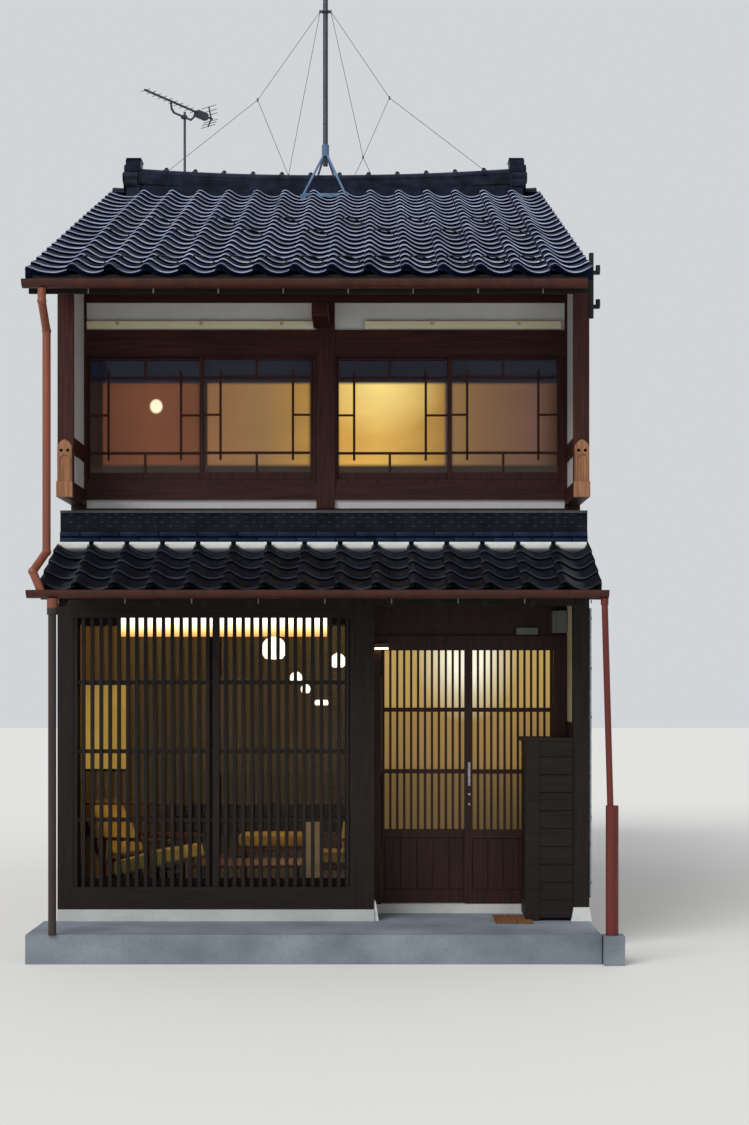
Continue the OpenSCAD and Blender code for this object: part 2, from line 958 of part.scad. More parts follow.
module sleeve_panel(x0, x1) {
    y0 = front_y + sleeve_board_t;
    z1 = sleeve_rail_z + sleeve_rail_h;
    block([x0, x1], [y0, upper_y], [sleeve_z + sleeve_foot_h, sleeve_rail_z]);
    along_x(x0, x1)
        polygon([
            [y0, z1], [upper_y, z1],
            [upper_y, roof_z(upper_y) - deck_t], [y0, roof_z(y0) - deck_t]
        ]);
}

module sleeve_plaster() {
    color(plaster_white) {
        sleeve_panel(-side_x + 20, -bay_out_x - 20);
        sleeve_panel(bay_out_x + 20, side_x - 20);
    }
}

// The pointed outline of the carved board over a beam end
module leaf_outline(half, top) {
    intersection() {
        translate([-half, 0])
            square([2 * half, top]);
        translate([-0.55 * half, 0])
            circle(r = 1.66 * half);
        translate([0.55 * half, 0])
            circle(r = 1.66 * half);
    }
}

// A carved beam end: a block, an arched board over it and a pointed leaf with
// two scroll eyes
module sleeve_bracket(x) {
    half = (x[1] - x[0]) / 2;
    board_h = 235;
    eye = [0.42 * half, 13];
    translate([(x[0] + x[1]) / 2, 0, 0]) {
        along_y(front_y - 60, front_y)
            translate([-half, sleeve_z])
                square([2 * half, sleeve_foot_h]);
        translate([0, 0, sleeve_z + sleeve_foot_h]) {
            along_y(front_y - 46, front_y)
                difference() {
                    union() {
                        translate([-half + 6, 0])
                            square([2 * half - 12, board_h]);
                        translate([0, board_h])
                            leaf_outline(half - 6, 90);
                    }
                    for (side = [-1, 1])
                        translate([side * eye[0], board_h + 2])
                            circle(r = eye[1]);
                }
            // The raised arch on the face of the board
            along_y(front_y - 54, front_y - 46)
                difference() {
                    union() {
                        translate([-half + 14, 0])
                            square([2 * half - 28, board_h - 68]);
                        translate([0, board_h - 68])
                            circle(r = half - 14);
                    }
                    translate([-half + 24, -1])
                        square([2 * half - 48, board_h - 67]);
                    translate([0, board_h - 68])
                        circle(r = half - 24);
                }
        }
    }
}

module sleeve_brackets() {
    color(wood_tan) {
        sleeve_bracket([-side_x, -bay_out_x]);
        sleeve_bracket([bay_out_x, side_x]);
    }
}

// Main roof

module roof_slab(side) {
    color(tile_black)
        along_x(roof_x[0], roof_x[1])
            polygon([
                [side * eave_y, eave_z], [0, roof_z(0)],
                [0, roof_z(0) - deck_t], [side * eave_y, eave_z - deck_t]
            ]);
}

module roof_front() {
    roof_slab(-1);
}

module roof_back() {
    roof_slab(1);
}

// The eave board's two faces, behind the edge of the roof boards
fascia_in = [20, 45];

module eave_rafters() {
    span = 2 * bay_out_x - 120;
    tip = eave_y - fascia_in[1];
    color(wood_dark)
        for (i = [0:rafter_count])
            for (run = [[-tip, upper_y + 25], [back_y, tip]])
                translate([-span / 2 + i * span / rafter_count, 0, 0])
                    along_x(-27, 27)
                        polygon([
                            [run[0], roof_z(run[0]) - deck_t],
                            [run[1], roof_z(run[1]) - deck_t],
                            [run[1], roof_z(run[1]) - deck_t - rafter_h],
                            [run[0], roof_z(run[0]) - deck_t - rafter_h]
                        ]);
}

module eave_boards() {
    y0 = eave_y - fascia_in[0];
    y1 = eave_y - fascia_in[1];
    z0 = roof_z(y1) - deck_t - rafter_h;
    color(wood_dark)
        for (side = [-1, 1])
            along_x(roof_x[0], roof_x[1])
                polygon([
                    [side * y0, roof_z(y0) - deck_t], [side * y1, roof_z(y1) - deck_t],
                    [side * y1, z0], [side * y0, z0]
                ]);
}

// The ridge hangs a little in the middle, as arcs of a large circle
arc_r = (pow(ridge_len / 2, 2) + pow(max(ridge_sag, 0.1), 2)) / (2 * max(ridge_sag, 0.1));
function sag_at(x) = arc_r - sqrt(pow(arc_r, 2) - pow(x, 2));
ridge_steps = 12;
function arc_line(z, from, to) = [
    for (i = [0:ridge_steps])
        let (x = from + i * (to - from) / ridge_steps)
            [x, z + sag_at(x)]
];

module ridge_course(half_w, z0, z1) {
    half = ridge_len / 2;
    translate([ridge_x, 0, 0])
        along_y(-half_w, half_w)
            polygon(concat(arc_line(z0, -half, half), arc_line(z1, half, -half)));
}

module ridge() {
    half = ridge_len / 2;
    foot = ridge_w / 2;
    color(tile_black) {
        difference() {
            along_x(ridge_x - half, ridge_x + half)
                polygon([
                    [-foot, roof_z(foot)], [0, roof_z(0)], [foot, roof_z(foot)],
                    [foot, ridge_base_z + 30], [-foot, ridge_base_z + 30]
                ]);
            translate([ridge_x, 0, 0])
                along_y(-foot - 1, foot + 1)
                    polygon(concat(
                        arc_line(ridge_base_z, -half - 1, half + 1),
                        [[half + 1, ridge_base_z + 200], [-half - 1, ridge_base_z + 200]]
                    ));
        }
        for (i = [0:course_count - 1]) {
            z = ridge_base_z + i * course_h;
            ridge_course(foot - 18 - 12 * i, z, z + course_h);
        }
        ridge_course(crown_w / 2, ridge_top_z, ridge_top_z + crown_h);
    }
}

// An end tile of the ridge, its outer face towards +X: a shield that follows
// the roof, two pairs of scrolls and a head with a cap plate
module ridge_end() {
    foot = ridge_w / 2 + 40;
    half_w = ridge_w / 2;
    neck_z = ridge_top_z + 62;
    head_z = ridge_top_z + 190;
    scrolls = [[half_w - 20, ridge_base_z + 42, 62], [half_w - 40, ridge_top_z + 8, 54]];
    // Shield
    along_x(0, ridge_end_t - 40)
        polygon([
            [-foot, roof_z(foot)], [0, roof_z(0)], [foot, roof_z(foot)],
            [foot - 12, ridge_base_z + 20], [half_w - 50, neck_z],
            [-half_w + 50, neck_z], [-foot + 12, ridge_base_z + 20]
        ]);
    // Scrolls, the lower pair thicker than the upper
    for (side = [-1, 1])
        for (i = [0:1])
            along_x(20, ridge_end_t - 14 + 14 * i)
                translate([side * scrolls[i][0], scrolls[i][1]])
                    circle(r = scrolls[i][2]);
    // Neck and head
    along_x(0, ridge_end_t - 40)
        translate([-75, neck_z - 1])
            square([150, 31]);
    along_x(0, ridge_end_t - 22) {
        translate([0, head_z - 72])
            circle(r = 90);
        translate([-90, head_z - 72])
            square([180, 72]);
    }
    along_x(-6, ridge_end_t - 28)
        translate([-98, head_z])
            square([196, 14]);
    // Boss on the outer face
    along_x(0, ridge_end_t)
        translate([0, head_z - 72])
            circle(r = 46);
}

module ridge_ends() {
    half = ridge_len / 2;
    color(tile_black)
        for (side = [-1, 1])
            translate([ridge_x + side * half, 0, 0])
                scale([side, 1, 1])
                    ridge_end();
}

module upper_gutters() {
    for (y = [gutter_y, -gutter_y])
        gutter([roof_x[0] - upper_gutter_out, roof_x[1] - upper_gutter_out], y, upper_gutter_z);
}

// Rain pipes

left_pipe_x = -side_x + 20;
// How far this pipe steps out round the side of the pent roof
left_pipe_step = 65;
outlet_x = -side_x + 95;
pipe_dia = 60;
outlet_dia = 76;
outlet_h = 118;
lower_pipe_dia = 58;
thin_pipe_dia = 46;
thick_pipe_dia = 92;
thick_pipe_h = 934;
pipe_gap = 28;

// The left pipe runs from the upper gutter back towards the wall, steps out
// round the pent roof to the pent gutter, and goes from there down to the base
module downpipe_left() {
    outlet_z = pent_gutter_z - gutter_r - outlet_h;
    wall_pipe_y = gutter_y + 190;
    top = upper_gutter_z - gutter_r;
    color(copper_brown)
        pipe([
            [left_pipe_x, gutter_y, top], [left_pipe_x, gutter_y, top - 92],
            [left_pipe_x, wall_pipe_y, top - 272], [left_pipe_x, wall_pipe_y, pent_z + 305],
            [left_pipe_x - left_pipe_step, gutter_y, pent_z + 150], [left_pipe_x, gutter_y, pent_gutter_z - 20]
        ], pipe_dia);
    color(wood_dark) {
        translate([outlet_x, gutter_y, outlet_z])
            cylinder(d = outlet_dia, h = outlet_h);
        translate([outlet_x, gutter_y, base_h])
            cylinder(d = lower_pipe_dia, h = outlet_z - base_h);
    }
}

// The right pipe leaves the gutter through a short outlet, leans out a little
// and ends in a thick pipe beside the base
module downpipe_right() {
    thick_x = side_x + pipe_gap + thick_pipe_dia / 2;
    thick_z = base_h + thick_pipe_h;
    top_z = pent_gutter_z - gutter_r;
    top_x = side_x + 20;
    collar_h = 46;
    color("#7a3026") {
        translate([top_x, gutter_y, top_z - collar_h])
            cylinder(d = thin_pipe_dia + 10, h = collar_h);
        rod(
            [top_x, gutter_y, top_z - collar_h / 2],
            [thick_x - 12, gutter_y, thick_z - 30], thin_pipe_dia
        );
        translate([thick_x, gutter_y, base_h])
            cylinder(d = thick_pipe_dia, h = thick_pipe_h);
    }
}

module pipe_stone() {
    half = 75;
    gap = 8;
    color(concrete)
        block([side_x + gap, side_x + gap + 2 * half], [gutter_y - half, gutter_y + half], [0, base_h]);
}

// Mast, its stand and its stays

// What is left of its children above the tile bed
module on_roof(reach) {
    difference() {
        children();
        along_x(-side_x, side_x)
            polygon([
                [-reach - 400, roof_z(reach + 400)], [0, roof_z(0)],
                [reach + 400, roof_z(reach + 400)], [0, roof_z(reach + 400) - 400]
            ]);
    }
}

stand_sleeve_h = 110;
stand_top = [mast_x, 0, ridge_top_z + 353];
stand_leg = 22;
stand_run = [200, 350];
stand_foot_z = roof_z(stand_run[1]) + 48;
stand_feet = [
    for (x = [-1, 1], y = [-1, 1])
        [mast_x + x * stand_run[0], y * stand_run[1], stand_foot_z]
];

module mast_stand() {
    pad = 26;
    color(steel_blue) {
        difference() {
            union() {
                translate([mast_x, 0, stand_top[2] - stand_sleeve_h])
                    cylinder(d = mast_dia + 22, h = stand_sleeve_h);
                for (foot = stand_feet)
                    rod(foot, stand_top - [0, 0, 60], stand_leg, $fn = 8);
            }
            translate([mast_x, 0, ridge_top_z])
                cylinder(d = mast_dia, h = 600);
        }
        for (y = [-1, 1])
            block(
                [mast_x - stand_run[0], mast_x + stand_run[0]],
                [y * stand_run[1] - 4, y * stand_run[1] + 4],
                [stand_foot_z - 16, stand_foot_z + 16]
            );
        on_roof(stand_run[1] + 50)
            for (foot = stand_feet)
                block(
                    [foot[0] - pad, foot[0] + pad], [foot[1] - pad, foot[1] + pad],
                    [stand_foot_z - 70, stand_foot_z + 4]
                );
    }
}

mast_foot_z = ridge_top_z + 153;
mast_top = ridge_top_z + mast_h;
stay_ring_z = mast_top - 160;
stay_ring_h = 12;

module mast() {
    color(steel_grey) {
        translate([mast_x, 0, mast_foot_z])
            cylinder(d = mast_dia, h = mast_top - mast_foot_z);
        translate([mast_x, 0, stay_ring_z])
            cylinder(d = mast_dia + 40, h = stay_ring_h);
    }
}

stay_dia = 5;
clamp = [16, 16, 28];

// A point over the crown of the ridge, by its place from the middle
crown_gap = 1.5;
function over_crown(x, up) = [ridge_x + x, 0, ridge_top_z + crown_h + sag_at(x) + crown_gap + up];

// Stays: two splices, three clamps on the crown and a wire hoop
splice_left = [ridge_x - 655, 40, ridge_top_z + 803];
splice_right = [ridge_x + 620, 40, ridge_top_z + 823];
anchor_far_left = over_crown(-ridge_len / 2 + 250, clamp[2] / 2);
anchor_near_left = over_crown(-355, clamp[2] / 2);
anchor_far_right = over_crown(ridge_len / 2 - 225, clamp[2] / 2);
hoop_x = 365;
hoop_half = 88;
hoop_top = over_crown(hoop_x, 190);

// A stay, drawn with eight sides so that its ends meet the clamps cleanly
module stay(from, to) {
    rod(from, to, stay_dia, $fn = 8);
}

// A clamp that joins the ends of stays
module stay_clamp(at) {
    translate(at - clamp / 2)
        cube(clamp);
}

module mast_stays() {
    out = mast_dia / 2 + 20 + clamp[0] / 2;
    ring = [mast_x, 0, stay_ring_z + stay_ring_h / 2];
    left = ring - [out, 0, 0];
    right = ring + [out, 0, 0];
    color(steel_grey) {
        stay(left, splice_left);
        stay(splice_left, anchor_far_left);
        stay(splice_left, anchor_near_left);
        stay(left, anchor_near_left);
        stay(right, splice_right);
        stay(splice_right, anchor_far_right);
        stay(splice_right, hoop_top);
        stay(right, hoop_top);
        for (x = [hoop_x - hoop_half, hoop_x + hoop_half])
            stay(hoop_top, over_crown(x, 0));
        for (knot = [
            left, right, splice_left, splice_right,
            anchor_far_left, anchor_near_left, hoop_top, anchor_far_right
        ])
            stay_clamp(knot);
    }
}

// Aerial behind the ridge: a post, and on an arm above it a boom of short rods
// that points to the street, with a corner reflector of longer ones at its far end

aerial_at = [-1465, 232];
aerial_foot_z = roof_z(aerial_at[1]) + 8;
aerial_post_h = 958;
aerial_post_dia = 24;
boom_up = 49;
boom_turn = 229.7;
boom_tilt = 4.3;
boom_t = 16;
boom_back = 380;
rod_count = 10;
rod_step = 72;
rod_len = 130;
arm_t = 14;
feed_box = [-296, -166];
reflector_lean = 22;
reflector_reach = [118, 100];
reflector_rod_len = 200;

module aerial_rod(at, length) {
    translate(at)
        rotate([90, 0, 0])
            cylinder(d = 6, h = length, center = true, $fn = 8);
}

// The arm hangs under the boom as a trough and is clamped to the post
module boom_arm() {
    rotate([90, 0, 0])
        linear_extrude(arm_t, center = true)
            polygon([
                [194, boom_t / 2], [178, -76], [138, -107], [-96, -107], [-140, -56], [-155, boom_t / 2],
                [-138, boom_t / 2], [-124, -50], [-88, -92], [132, -92], [163, -66], [177, boom_t / 2]
            ]);
    block([-22, 22], [-22, 22], [-116, -84]);
}

// The reflector: an arm up and an arm down, each with three long rods
module boom_reflector() {
    for (half = [[1, reflector_reach[0]], [-1, reflector_reach[1]]])
        translate([boom_t - boom_back, 0, 0])
            rotate([0, half[0] * (reflector_lean - 90), 0]) {
                block([0, half[1]], [-5, 5], [-5, 5]);
                for (share = [0.36, 0.66, 1])
                    aerial_rod([share * half[1] - 4, 0, 0], reflector_rod_len);
            }
}

module tv_aerial() {
    color(steel_grey)
        translate([aerial_at[0], aerial_at[1], aerial_foot_z]) {
            cylinder(d = aerial_post_dia, h = aerial_post_h);
            translate([0, 0, aerial_post_h + boom_up])
                rotate([0, 0, boom_turn])
                    rotate([0, -boom_tilt, 0]) {
                        block(
                            [-boom_back, boom_len - boom_back],
                            [-boom_t / 2, boom_t / 2], [-boom_t / 2, boom_t / 2]
                        );
                        block(feed_box, [-26, 26], [-40, 24]);
                        for (i = [0:rod_count - 1])
                            aerial_rod([boom_len - boom_back - 15 - i * rod_step, 0, 0], rod_len);
                        boom_arm();
                        boom_reflector();
                    }
        }
}

foundation();
granite_sill();
door_threshold();
post_stones();
ground_posts();
sill_beam();
head_beam();
front_lattice();
front_window_frame();
front_window_glass();
party_wall_left();
party_wall_right();
back_wall_ground();
back_wall_upper();
back_window_frames();
back_window_glass();
ground_floor();
upper_floor();
floor_beams();
porch_walls();
porch_ceiling();
porch_trim();
door_surround();
porch_screen();
porch_lamp();
meter_box();
door_leaf_left();
door_glass_left();
door_leaf_right();
door_glass_right();
pent_roof();
pent_rafters();
pent_gutter();
pent_ridge();
pent_flashing();
upper_posts();
upper_beams();
upper_plaster();
upper_window_frames();
upper_sashes();
upper_glass();
upper_screens();
sleeve_frames();
sleeve_plaster();
sleeve_brackets();
roof_front();
roof_back();
eave_rafters();
eave_boards();
ridge();
ridge_ends();
upper_gutters();
downpipe_left();
downpipe_right();
pipe_stone();
mast_stand();
mast();
mast_stays();
tv_aerial();
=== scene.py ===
import math
import bmesh
import bpy
from mathutils import Euler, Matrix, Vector


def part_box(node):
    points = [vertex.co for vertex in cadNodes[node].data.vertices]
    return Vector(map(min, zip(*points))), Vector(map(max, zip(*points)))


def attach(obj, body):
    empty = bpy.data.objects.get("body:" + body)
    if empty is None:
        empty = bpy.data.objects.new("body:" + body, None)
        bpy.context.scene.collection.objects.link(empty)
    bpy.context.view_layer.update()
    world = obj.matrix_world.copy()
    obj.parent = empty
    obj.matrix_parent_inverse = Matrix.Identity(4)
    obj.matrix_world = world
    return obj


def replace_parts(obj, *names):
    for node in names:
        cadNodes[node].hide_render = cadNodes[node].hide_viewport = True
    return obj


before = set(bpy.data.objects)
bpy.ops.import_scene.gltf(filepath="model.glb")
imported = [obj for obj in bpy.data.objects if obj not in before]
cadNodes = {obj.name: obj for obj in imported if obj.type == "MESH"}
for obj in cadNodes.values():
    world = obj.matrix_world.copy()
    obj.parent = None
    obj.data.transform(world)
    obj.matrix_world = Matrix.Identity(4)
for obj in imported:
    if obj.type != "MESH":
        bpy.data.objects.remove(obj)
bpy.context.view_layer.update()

# Camera: stands in the street in front of the house, level, with the horizon below the middle
view = {"place": (0.39, -17.48, 2.05), "lens": 57.98, "shiftUp": 0.1044}
bpy.ops.object.select_all(action="DESELECT")
bpy.ops.object.camera_add(location=view["place"], rotation=(math.radians(90), 0, 0))
camera = bpy.context.object
camera.name = "streetCamera"
camera.data.lens = view["lens"]
camera.data.sensor_width = 36
camera.data.shift_y = view["shiftUp"]
camera.data.clip_end = 200
bpy.context.scene.camera = camera


# Small helpers for modelling

def deselectAll():
    if bpy.context.mode != "OBJECT":
        bpy.ops.object.mode_set(mode="OBJECT")
    bpy.ops.object.select_all(action="DESELECT")


def pick(piece):
    deselectAll()
    piece.select_set(True)
    bpy.context.view_layer.objects.active = piece


def settle(piece):
    # puts the place, turn and size of a piece into its mesh
    pick(piece)
    bpy.ops.object.transform_apply(location=True, rotation=True, scale=True)
    return piece


def editAll(piece):
    pick(piece)
    bpy.ops.object.mode_set(mode="EDIT")
    bpy.ops.mesh.select_all(action="SELECT")


def leaveEdit():
    bpy.ops.object.mode_set(mode="OBJECT")


def selectPoints(piece, test):
    # in edit mode: selects only the points for which the test holds
    mesh = bmesh.from_edit_mesh(piece.data)
    bpy.ops.mesh.select_mode(type="VERT")
    for point in mesh.verts:
        point.select_set(test(point.co))
    mesh.select_flush(True)
    mesh.select_flush(False)
    bmesh.update_edit_mesh(piece.data)


def selectFaces(piece, test):
    mesh = bmesh.from_edit_mesh(piece.data)
    bpy.ops.mesh.select_mode(type="FACE")
    for face in mesh.faces:
        face.select_set(test(face))
    mesh.select_flush_mode()
    bmesh.update_edit_mesh(piece.data)


def addBlock(name, low, high, bevel=0.0):
    deselectAll()
    middle = [(a + b) / 2 for a, b in zip(low, high)]
    bpy.ops.mesh.primitive_cube_add(size=1, location=middle)
    block = bpy.context.object
    block.name = name
    block.scale = [abs(b - a) for a, b in zip(low, high)]
    settle(block)
    if bevel:
        editAll(block)
        bpy.ops.mesh.bevel(offset=bevel, segments=1, affect="EDGES")
        leaveEdit()
    return block


def addRod(name, start, end, radius, sides=8):
    run = Vector(end) - Vector(start)
    deselectAll()
    bpy.ops.mesh.primitive_cylinder_add(
        vertices=sides, radius=radius, depth=run.length,
        location=(Vector(start) + Vector(end)) / 2, rotation=run.to_track_quat("Z", "Y").to_euler())
    rod = bpy.context.object
    rod.name = name
    return settle(rod)


def addLoop(name, points, radius):
    # a closed ring of wire along points, with a square section: a curve with a bevel, made a mesh
    deselectAll()
    line = bpy.data.curves.new(name, "CURVE")
    line.dimensions = "3D"
    line.bevel_depth = radius
    line.bevel_resolution = 0
    line.use_fill_caps = True
    spline = line.splines.new("POLY")
    spline.use_cyclic_u = True
    spline.points.add(len(points) - 1)
    for place, point in zip(points, spline.points):
        point.co = (*place, 1)
    bar = bpy.data.objects.new(name, line)
    bpy.context.scene.collection.objects.link(bar)
    pick(bar)
    bpy.ops.object.convert(target="MESH")
    return bpy.context.object


def join(name, parts):
    deselectAll()
    for part in parts:
        part.select_set(True)
    bpy.context.view_layer.objects.active = parts[0]
    if len(parts) > 1:
        bpy.ops.object.join()
    whole = bpy.context.object
    whole.name = name
    return whole


def repeat(piece, count, step):
    pick(piece)
    row = piece.modifiers.new("row", "ARRAY")
    row.use_relative_offset = False
    row.use_constant_offset = True
    row.count = count
    row.constant_offset_displace = step
    bpy.ops.object.modifier_apply(modifier=row.name)
    return piece


def mirrorToBack(name, piece):
    # a copy with its own mesh on the other side of the ridge
    pick(piece)
    bpy.ops.object.duplicate(linked=False)
    twin = bpy.context.object
    twin.name = name
    twin.scale.y = -1
    editAll(settle(twin))
    bpy.ops.mesh.normals_make_consistent(inside=False)
    leaveEdit()
    return twin


def finish(piece, material, body="house", smooth=None):
    pick(piece)
    if smooth is None:
        bpy.ops.object.shade_flat()
    else:
        bpy.ops.object.shade_smooth_by_angle(angle=math.radians(smooth))
    if material:
        piece.data.materials.clear()
        piece.data.materials.append(material)
    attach(piece, body)
    return piece


# Materials

def colour(hexText):
    parts = [int(hexText[i:i + 2], 16) / 255 for i in (1, 3, 5)]
    return tuple(c / 12.92 if c <= 0.04045 else ((c + 0.055) / 1.055) ** 2.4 for c in parts) + (1.0,)


def feed(material, node, name, value):
    # the output of another node is linked to the input, anything else is its value
    if isinstance(value, bpy.types.NodeSocket):
        material.node_tree.links.new(value, node.inputs[name])
    else:
        node.inputs[name].default_value = colour(value) if isinstance(value, str) else value


def addNode(material, kind, settings, out=0):
    # settings belong to the node itself, to its colour band (stops) or to its inputs
    node = material.node_tree.nodes.new("ShaderNode" + kind)
    for name, value in settings.items():
        if name == "stops":
            band = node.color_ramp
            while len(band.elements) < len(value):
                band.elements.new(0.5)
            for element, (place, tone) in zip(band.elements, value):
                element.position = place
                element.color = colour(tone) if isinstance(tone, str) else (tone, tone, tone, 1.0)
        elif isinstance(name, str) and hasattr(node, name):
            setattr(node, name, value)
        else:
            feed(material, node, name, value)
    return node.outputs[out]


def setShader(material, inputs):
    for name, value in inputs.items():
        feed(material, material.node_tree.nodes["Principled BSDF"], name, value)
    return material


def newMaterial(name, inputs):
    # a material, and the object coordinates that its patterns are read at
    material = bpy.data.materials.new(name)
    material.use_nodes = True
    return setShader(material, inputs), addNode(material, "TexCoord", {}, "Object")


blend = {"data_type": "RGBA"}
darken = {"data_type": "RGBA", "blend_type": "MULTIPLY"}


def mottle(material, place, scale, detail, stops):
    # soft lumps of tone: scale is how many of them go in a metre, as one number or one for each axis
    size = scale if isinstance(scale, tuple) else (scale,) * 3
    stretched = addNode(material, "Mapping", {"Vector": place, "Scale": size})
    lumps = addNode(material, "TexNoise", {"Vector": stretched, "Scale": 1.0, "Detail": detail, "Roughness": 0.55})
    return addNode(material, "ValToRGB", {"Fac": lumps, "stops": stops})


def relief(material, place, scale, detail, strength, depth):
    # a fine unevenness of the face: scale as above, depth in metres
    grit = addNode(material, "Mapping", {"Vector": place, "Scale": (scale,) * 3})
    lumps = addNode(material, "TexNoise", {"Vector": grit, "Scale": 1.0, "Detail": detail, "Roughness": 0.55})
    return addNode(material, "Bump", {"Height": lumps, "Strength": strength, "Distance": depth})


def tonesAlong(material, place, axis, low, high, stops):
    # tones that change along one axis, from low to high in metres
    length = addNode(material, "SeparateXYZ", {"Vector": place}, axis)
    share = addNode(material, "MapRange", {0: length, 1: low, 2: high})
    return addNode(material, "ValToRGB", {"Fac": share, "stops": stops})


def glowSpot(material, place, centre, size, stops):
    # the last tone at a lamp behind the pane, the first one from the given distances on
    shifted = addNode(material, "VectorMath", {"operation": "SUBTRACT", 0: place, 1: centre})
    scaled = addNode(material, "VectorMath", {"operation": "DIVIDE", 0: shifted, 1: size})
    far = addNode(material, "VectorMath", {"operation": "LENGTH", 0: scaled}, "Value")
    near = addNode(material, "MapRange", {0: far, 1: 1.0, 2: 0.0})
    return addNode(material, "ValToRGB", {"Fac": near, "stops": stops})


def cellTones(material, place, cells, stops):
    # one tone for each tile or board: the place is cut into cells of one size in metres
    shifted = addNode(material, "VectorMath", {"operation": "SUBTRACT", 0: place, 1: cells["start"]})
    scaled = addNode(material, "VectorMath", {"operation": "DIVIDE", 0: shifted, 1: cells["size"]})
    cell = addNode(material, "VectorMath", {"operation": "FLOOR", 0: scaled})
    random = addNode(material, "TexWhiteNoise", {"noise_dimensions": "3D", "Vector": cell})
    return addNode(material, "ValToRGB", {"Fac": random, "stops": stops})


def stainedCedar(name, dark, pale, axis="Z", roughness=0.6, boards=None):
    # cedar, planed and stained: straight fine grain along the length, the stain thinner on the ridges
    material, place = newMaterial(name, {"Specular IOR Level": 0.22})
    along = {"X": (2.5, 55, 55), "Y": (55, 2.5, 55), "Z": (55, 55, 2.5)}[axis]
    fine = addNode(material, "Mapping", {"Vector": place, "Scale": tuple(4.5 * s for s in along)})
    grain = addNode(material, "TexNoise", {"Vector": fine, "Scale": 1.0, "Detail": 5.0, "Roughness": 0.65})
    tone = mottle(material, place, along, 3.0, [(0.28, dark), (0.72, pale)])
    lines = addNode(material, "ValToRGB", {"Fac": grain, "stops": [(0.3, 0.62), (0.62, 1.0)]})
    layers = [(0.8, lines), (0.7, mottle(material, place, 1.7, 3.0, [(0.3, 0.72), (0.7, 1.0)]))]
    if boards:
        layers.append((0.6, cellTones(material, place, boards, [(0.0, 0.62), (1.0, 1.0)])))
    for share, layer in layers:
        tone = addNode(material, "Mix", {**darken, 0: share, 6: tone, 7: layer}, 2)
    dull = [(0.3, roughness + 0.1), (0.7, roughness - 0.08)]
    return setShader(material, {
        "Base Color": tone, "Roughness": addNode(material, "ValToRGB", {"Fac": grain, "stops": dull}),
        "Normal": addNode(material, "Bump", {"Height": grain, "Strength": 0.35, "Distance": 0.0012})})


def limePlaster(name, base, dim, roughness=0.85):
    # lime plaster, trowelled: nearly even, with faint clouds and a very fine sand
    material, place = newMaterial(name, {"Roughness": roughness})
    return setShader(material, {
        "Base Color": mottle(material, place, 2.2, 5.0, [(0.3, dim), (0.7, base)]),
        "Normal": relief(material, place, 420, 2.0, 0.25, 0.0006)})


def glazedTile(name, dark, pale, cells=None, roughness=0.3, coat=0.02, specular=0.06):
    # glazed clay: blue-black, shiny, each tile a little different, the glaze slightly wavy
    material, place = newMaterial(name, {
        "Specular IOR Level": specular, "Coat Weight": coat, "Coat Roughness": 0.15})
    tone = mottle(material, place, 7.0, 4.0, [(0.3, dark), (0.75, pale)])
    if cells:
        shades = cellTones(material, place, cells, [(0.0, 0.55), (0.55, 0.85), (1.0, 1.0)])
        tone = addNode(material, "Mix", {**darken, 0: 0.75, 6: tone, 7: shades}, 2)
    dust = mottle(material, place, 160.0, 3.0, [(0.55, 0.0), (0.8, 0.08)])
    return setShader(material, {
        "Base Color": addNode(material, "Mix", {**blend, 0: dust, 6: tone, 7: "#4a5160"}, 2),
        "Roughness": mottle(material, place, 7.0, 4.0, [(0.3, roughness + 0.12), (0.7, roughness)]),
        "Normal": relief(material, place, 38.0, 2.0, 0.18, 0.003)})


def sawnStone(name, dark, pale, speck, grit=260.0):
    # granite or concrete, cut or cast: salt and pepper grains over broad stains
    material, place = newMaterial(name, {"Roughness": 0.8})
    tone = mottle(material, place, (1.6, 1.6, 2.4), 6.0, [(0.3, dark), (0.7, pale)])
    grains = addNode(material, "TexVoronoi", {"Vector": place, "Scale": grit}, "Color")
    flecks = addNode(material, "ValToRGB", {"Fac": grains, "stops": [(0.12, 1.0), (0.3, 0.0)]})
    specked = addNode(material, "Mix", {**blend, 0: 0.45, 6: tone, 7: speck}, 2)
    return setShader(material, {
        "Base Color": addNode(material, "Mix", {**blend, 0: flecks, 6: tone, 7: specked}, 2),
        "Normal": relief(material, place, 190.0, 4.0, 0.3, 0.001)})


def paintedSheet(name, base, dim, roughness=0.42, wear=None):
    # painted or coated sheet metal: even, slightly chalky, with streaks down the face
    material, place = newMaterial(name, {"Specular IOR Level": 0.3})
    streaks = (14.0, 14.0, 1.4)
    tone = mottle(material, place, streaks, 4.0, [(0.3, dim), (0.7, base)])
    if wear:
        spots = mottle(material, place, 45.0, 5.0, [(0.62, 0.0), (0.72, 0.7)])
        tone = addNode(material, "Mix", {**blend, 0: spots, 6: tone, 7: wear}, 2)
    return setShader(material, {
        "Base Color": tone,
        "Roughness": mottle(material, place, streaks, 4.0, [(0.3, roughness + 0.12), (0.7, roughness)]),
        "Normal": relief(material, place, 90.0, 3.0, 0.08, 0.001)})


def dullZinc(name, base, dim, roughness=0.45):
    # hot-dip galvanised steel: grey spangle, dull shine
    material, place = newMaterial(name, {"Roughness": roughness, "Metallic": 0.85})
    spangle = addNode(material, "TexVoronoi", {"Vector": place, "Scale": 70.0}, "Color")
    return setShader(material, {
        "Base Color": addNode(material, "ValToRGB", {"Fac": spangle, "stops": [(0.1, dim), (0.9, base)]}),
        "Normal": relief(material, place, 120.0, 3.0, 0.06, 0.001)})


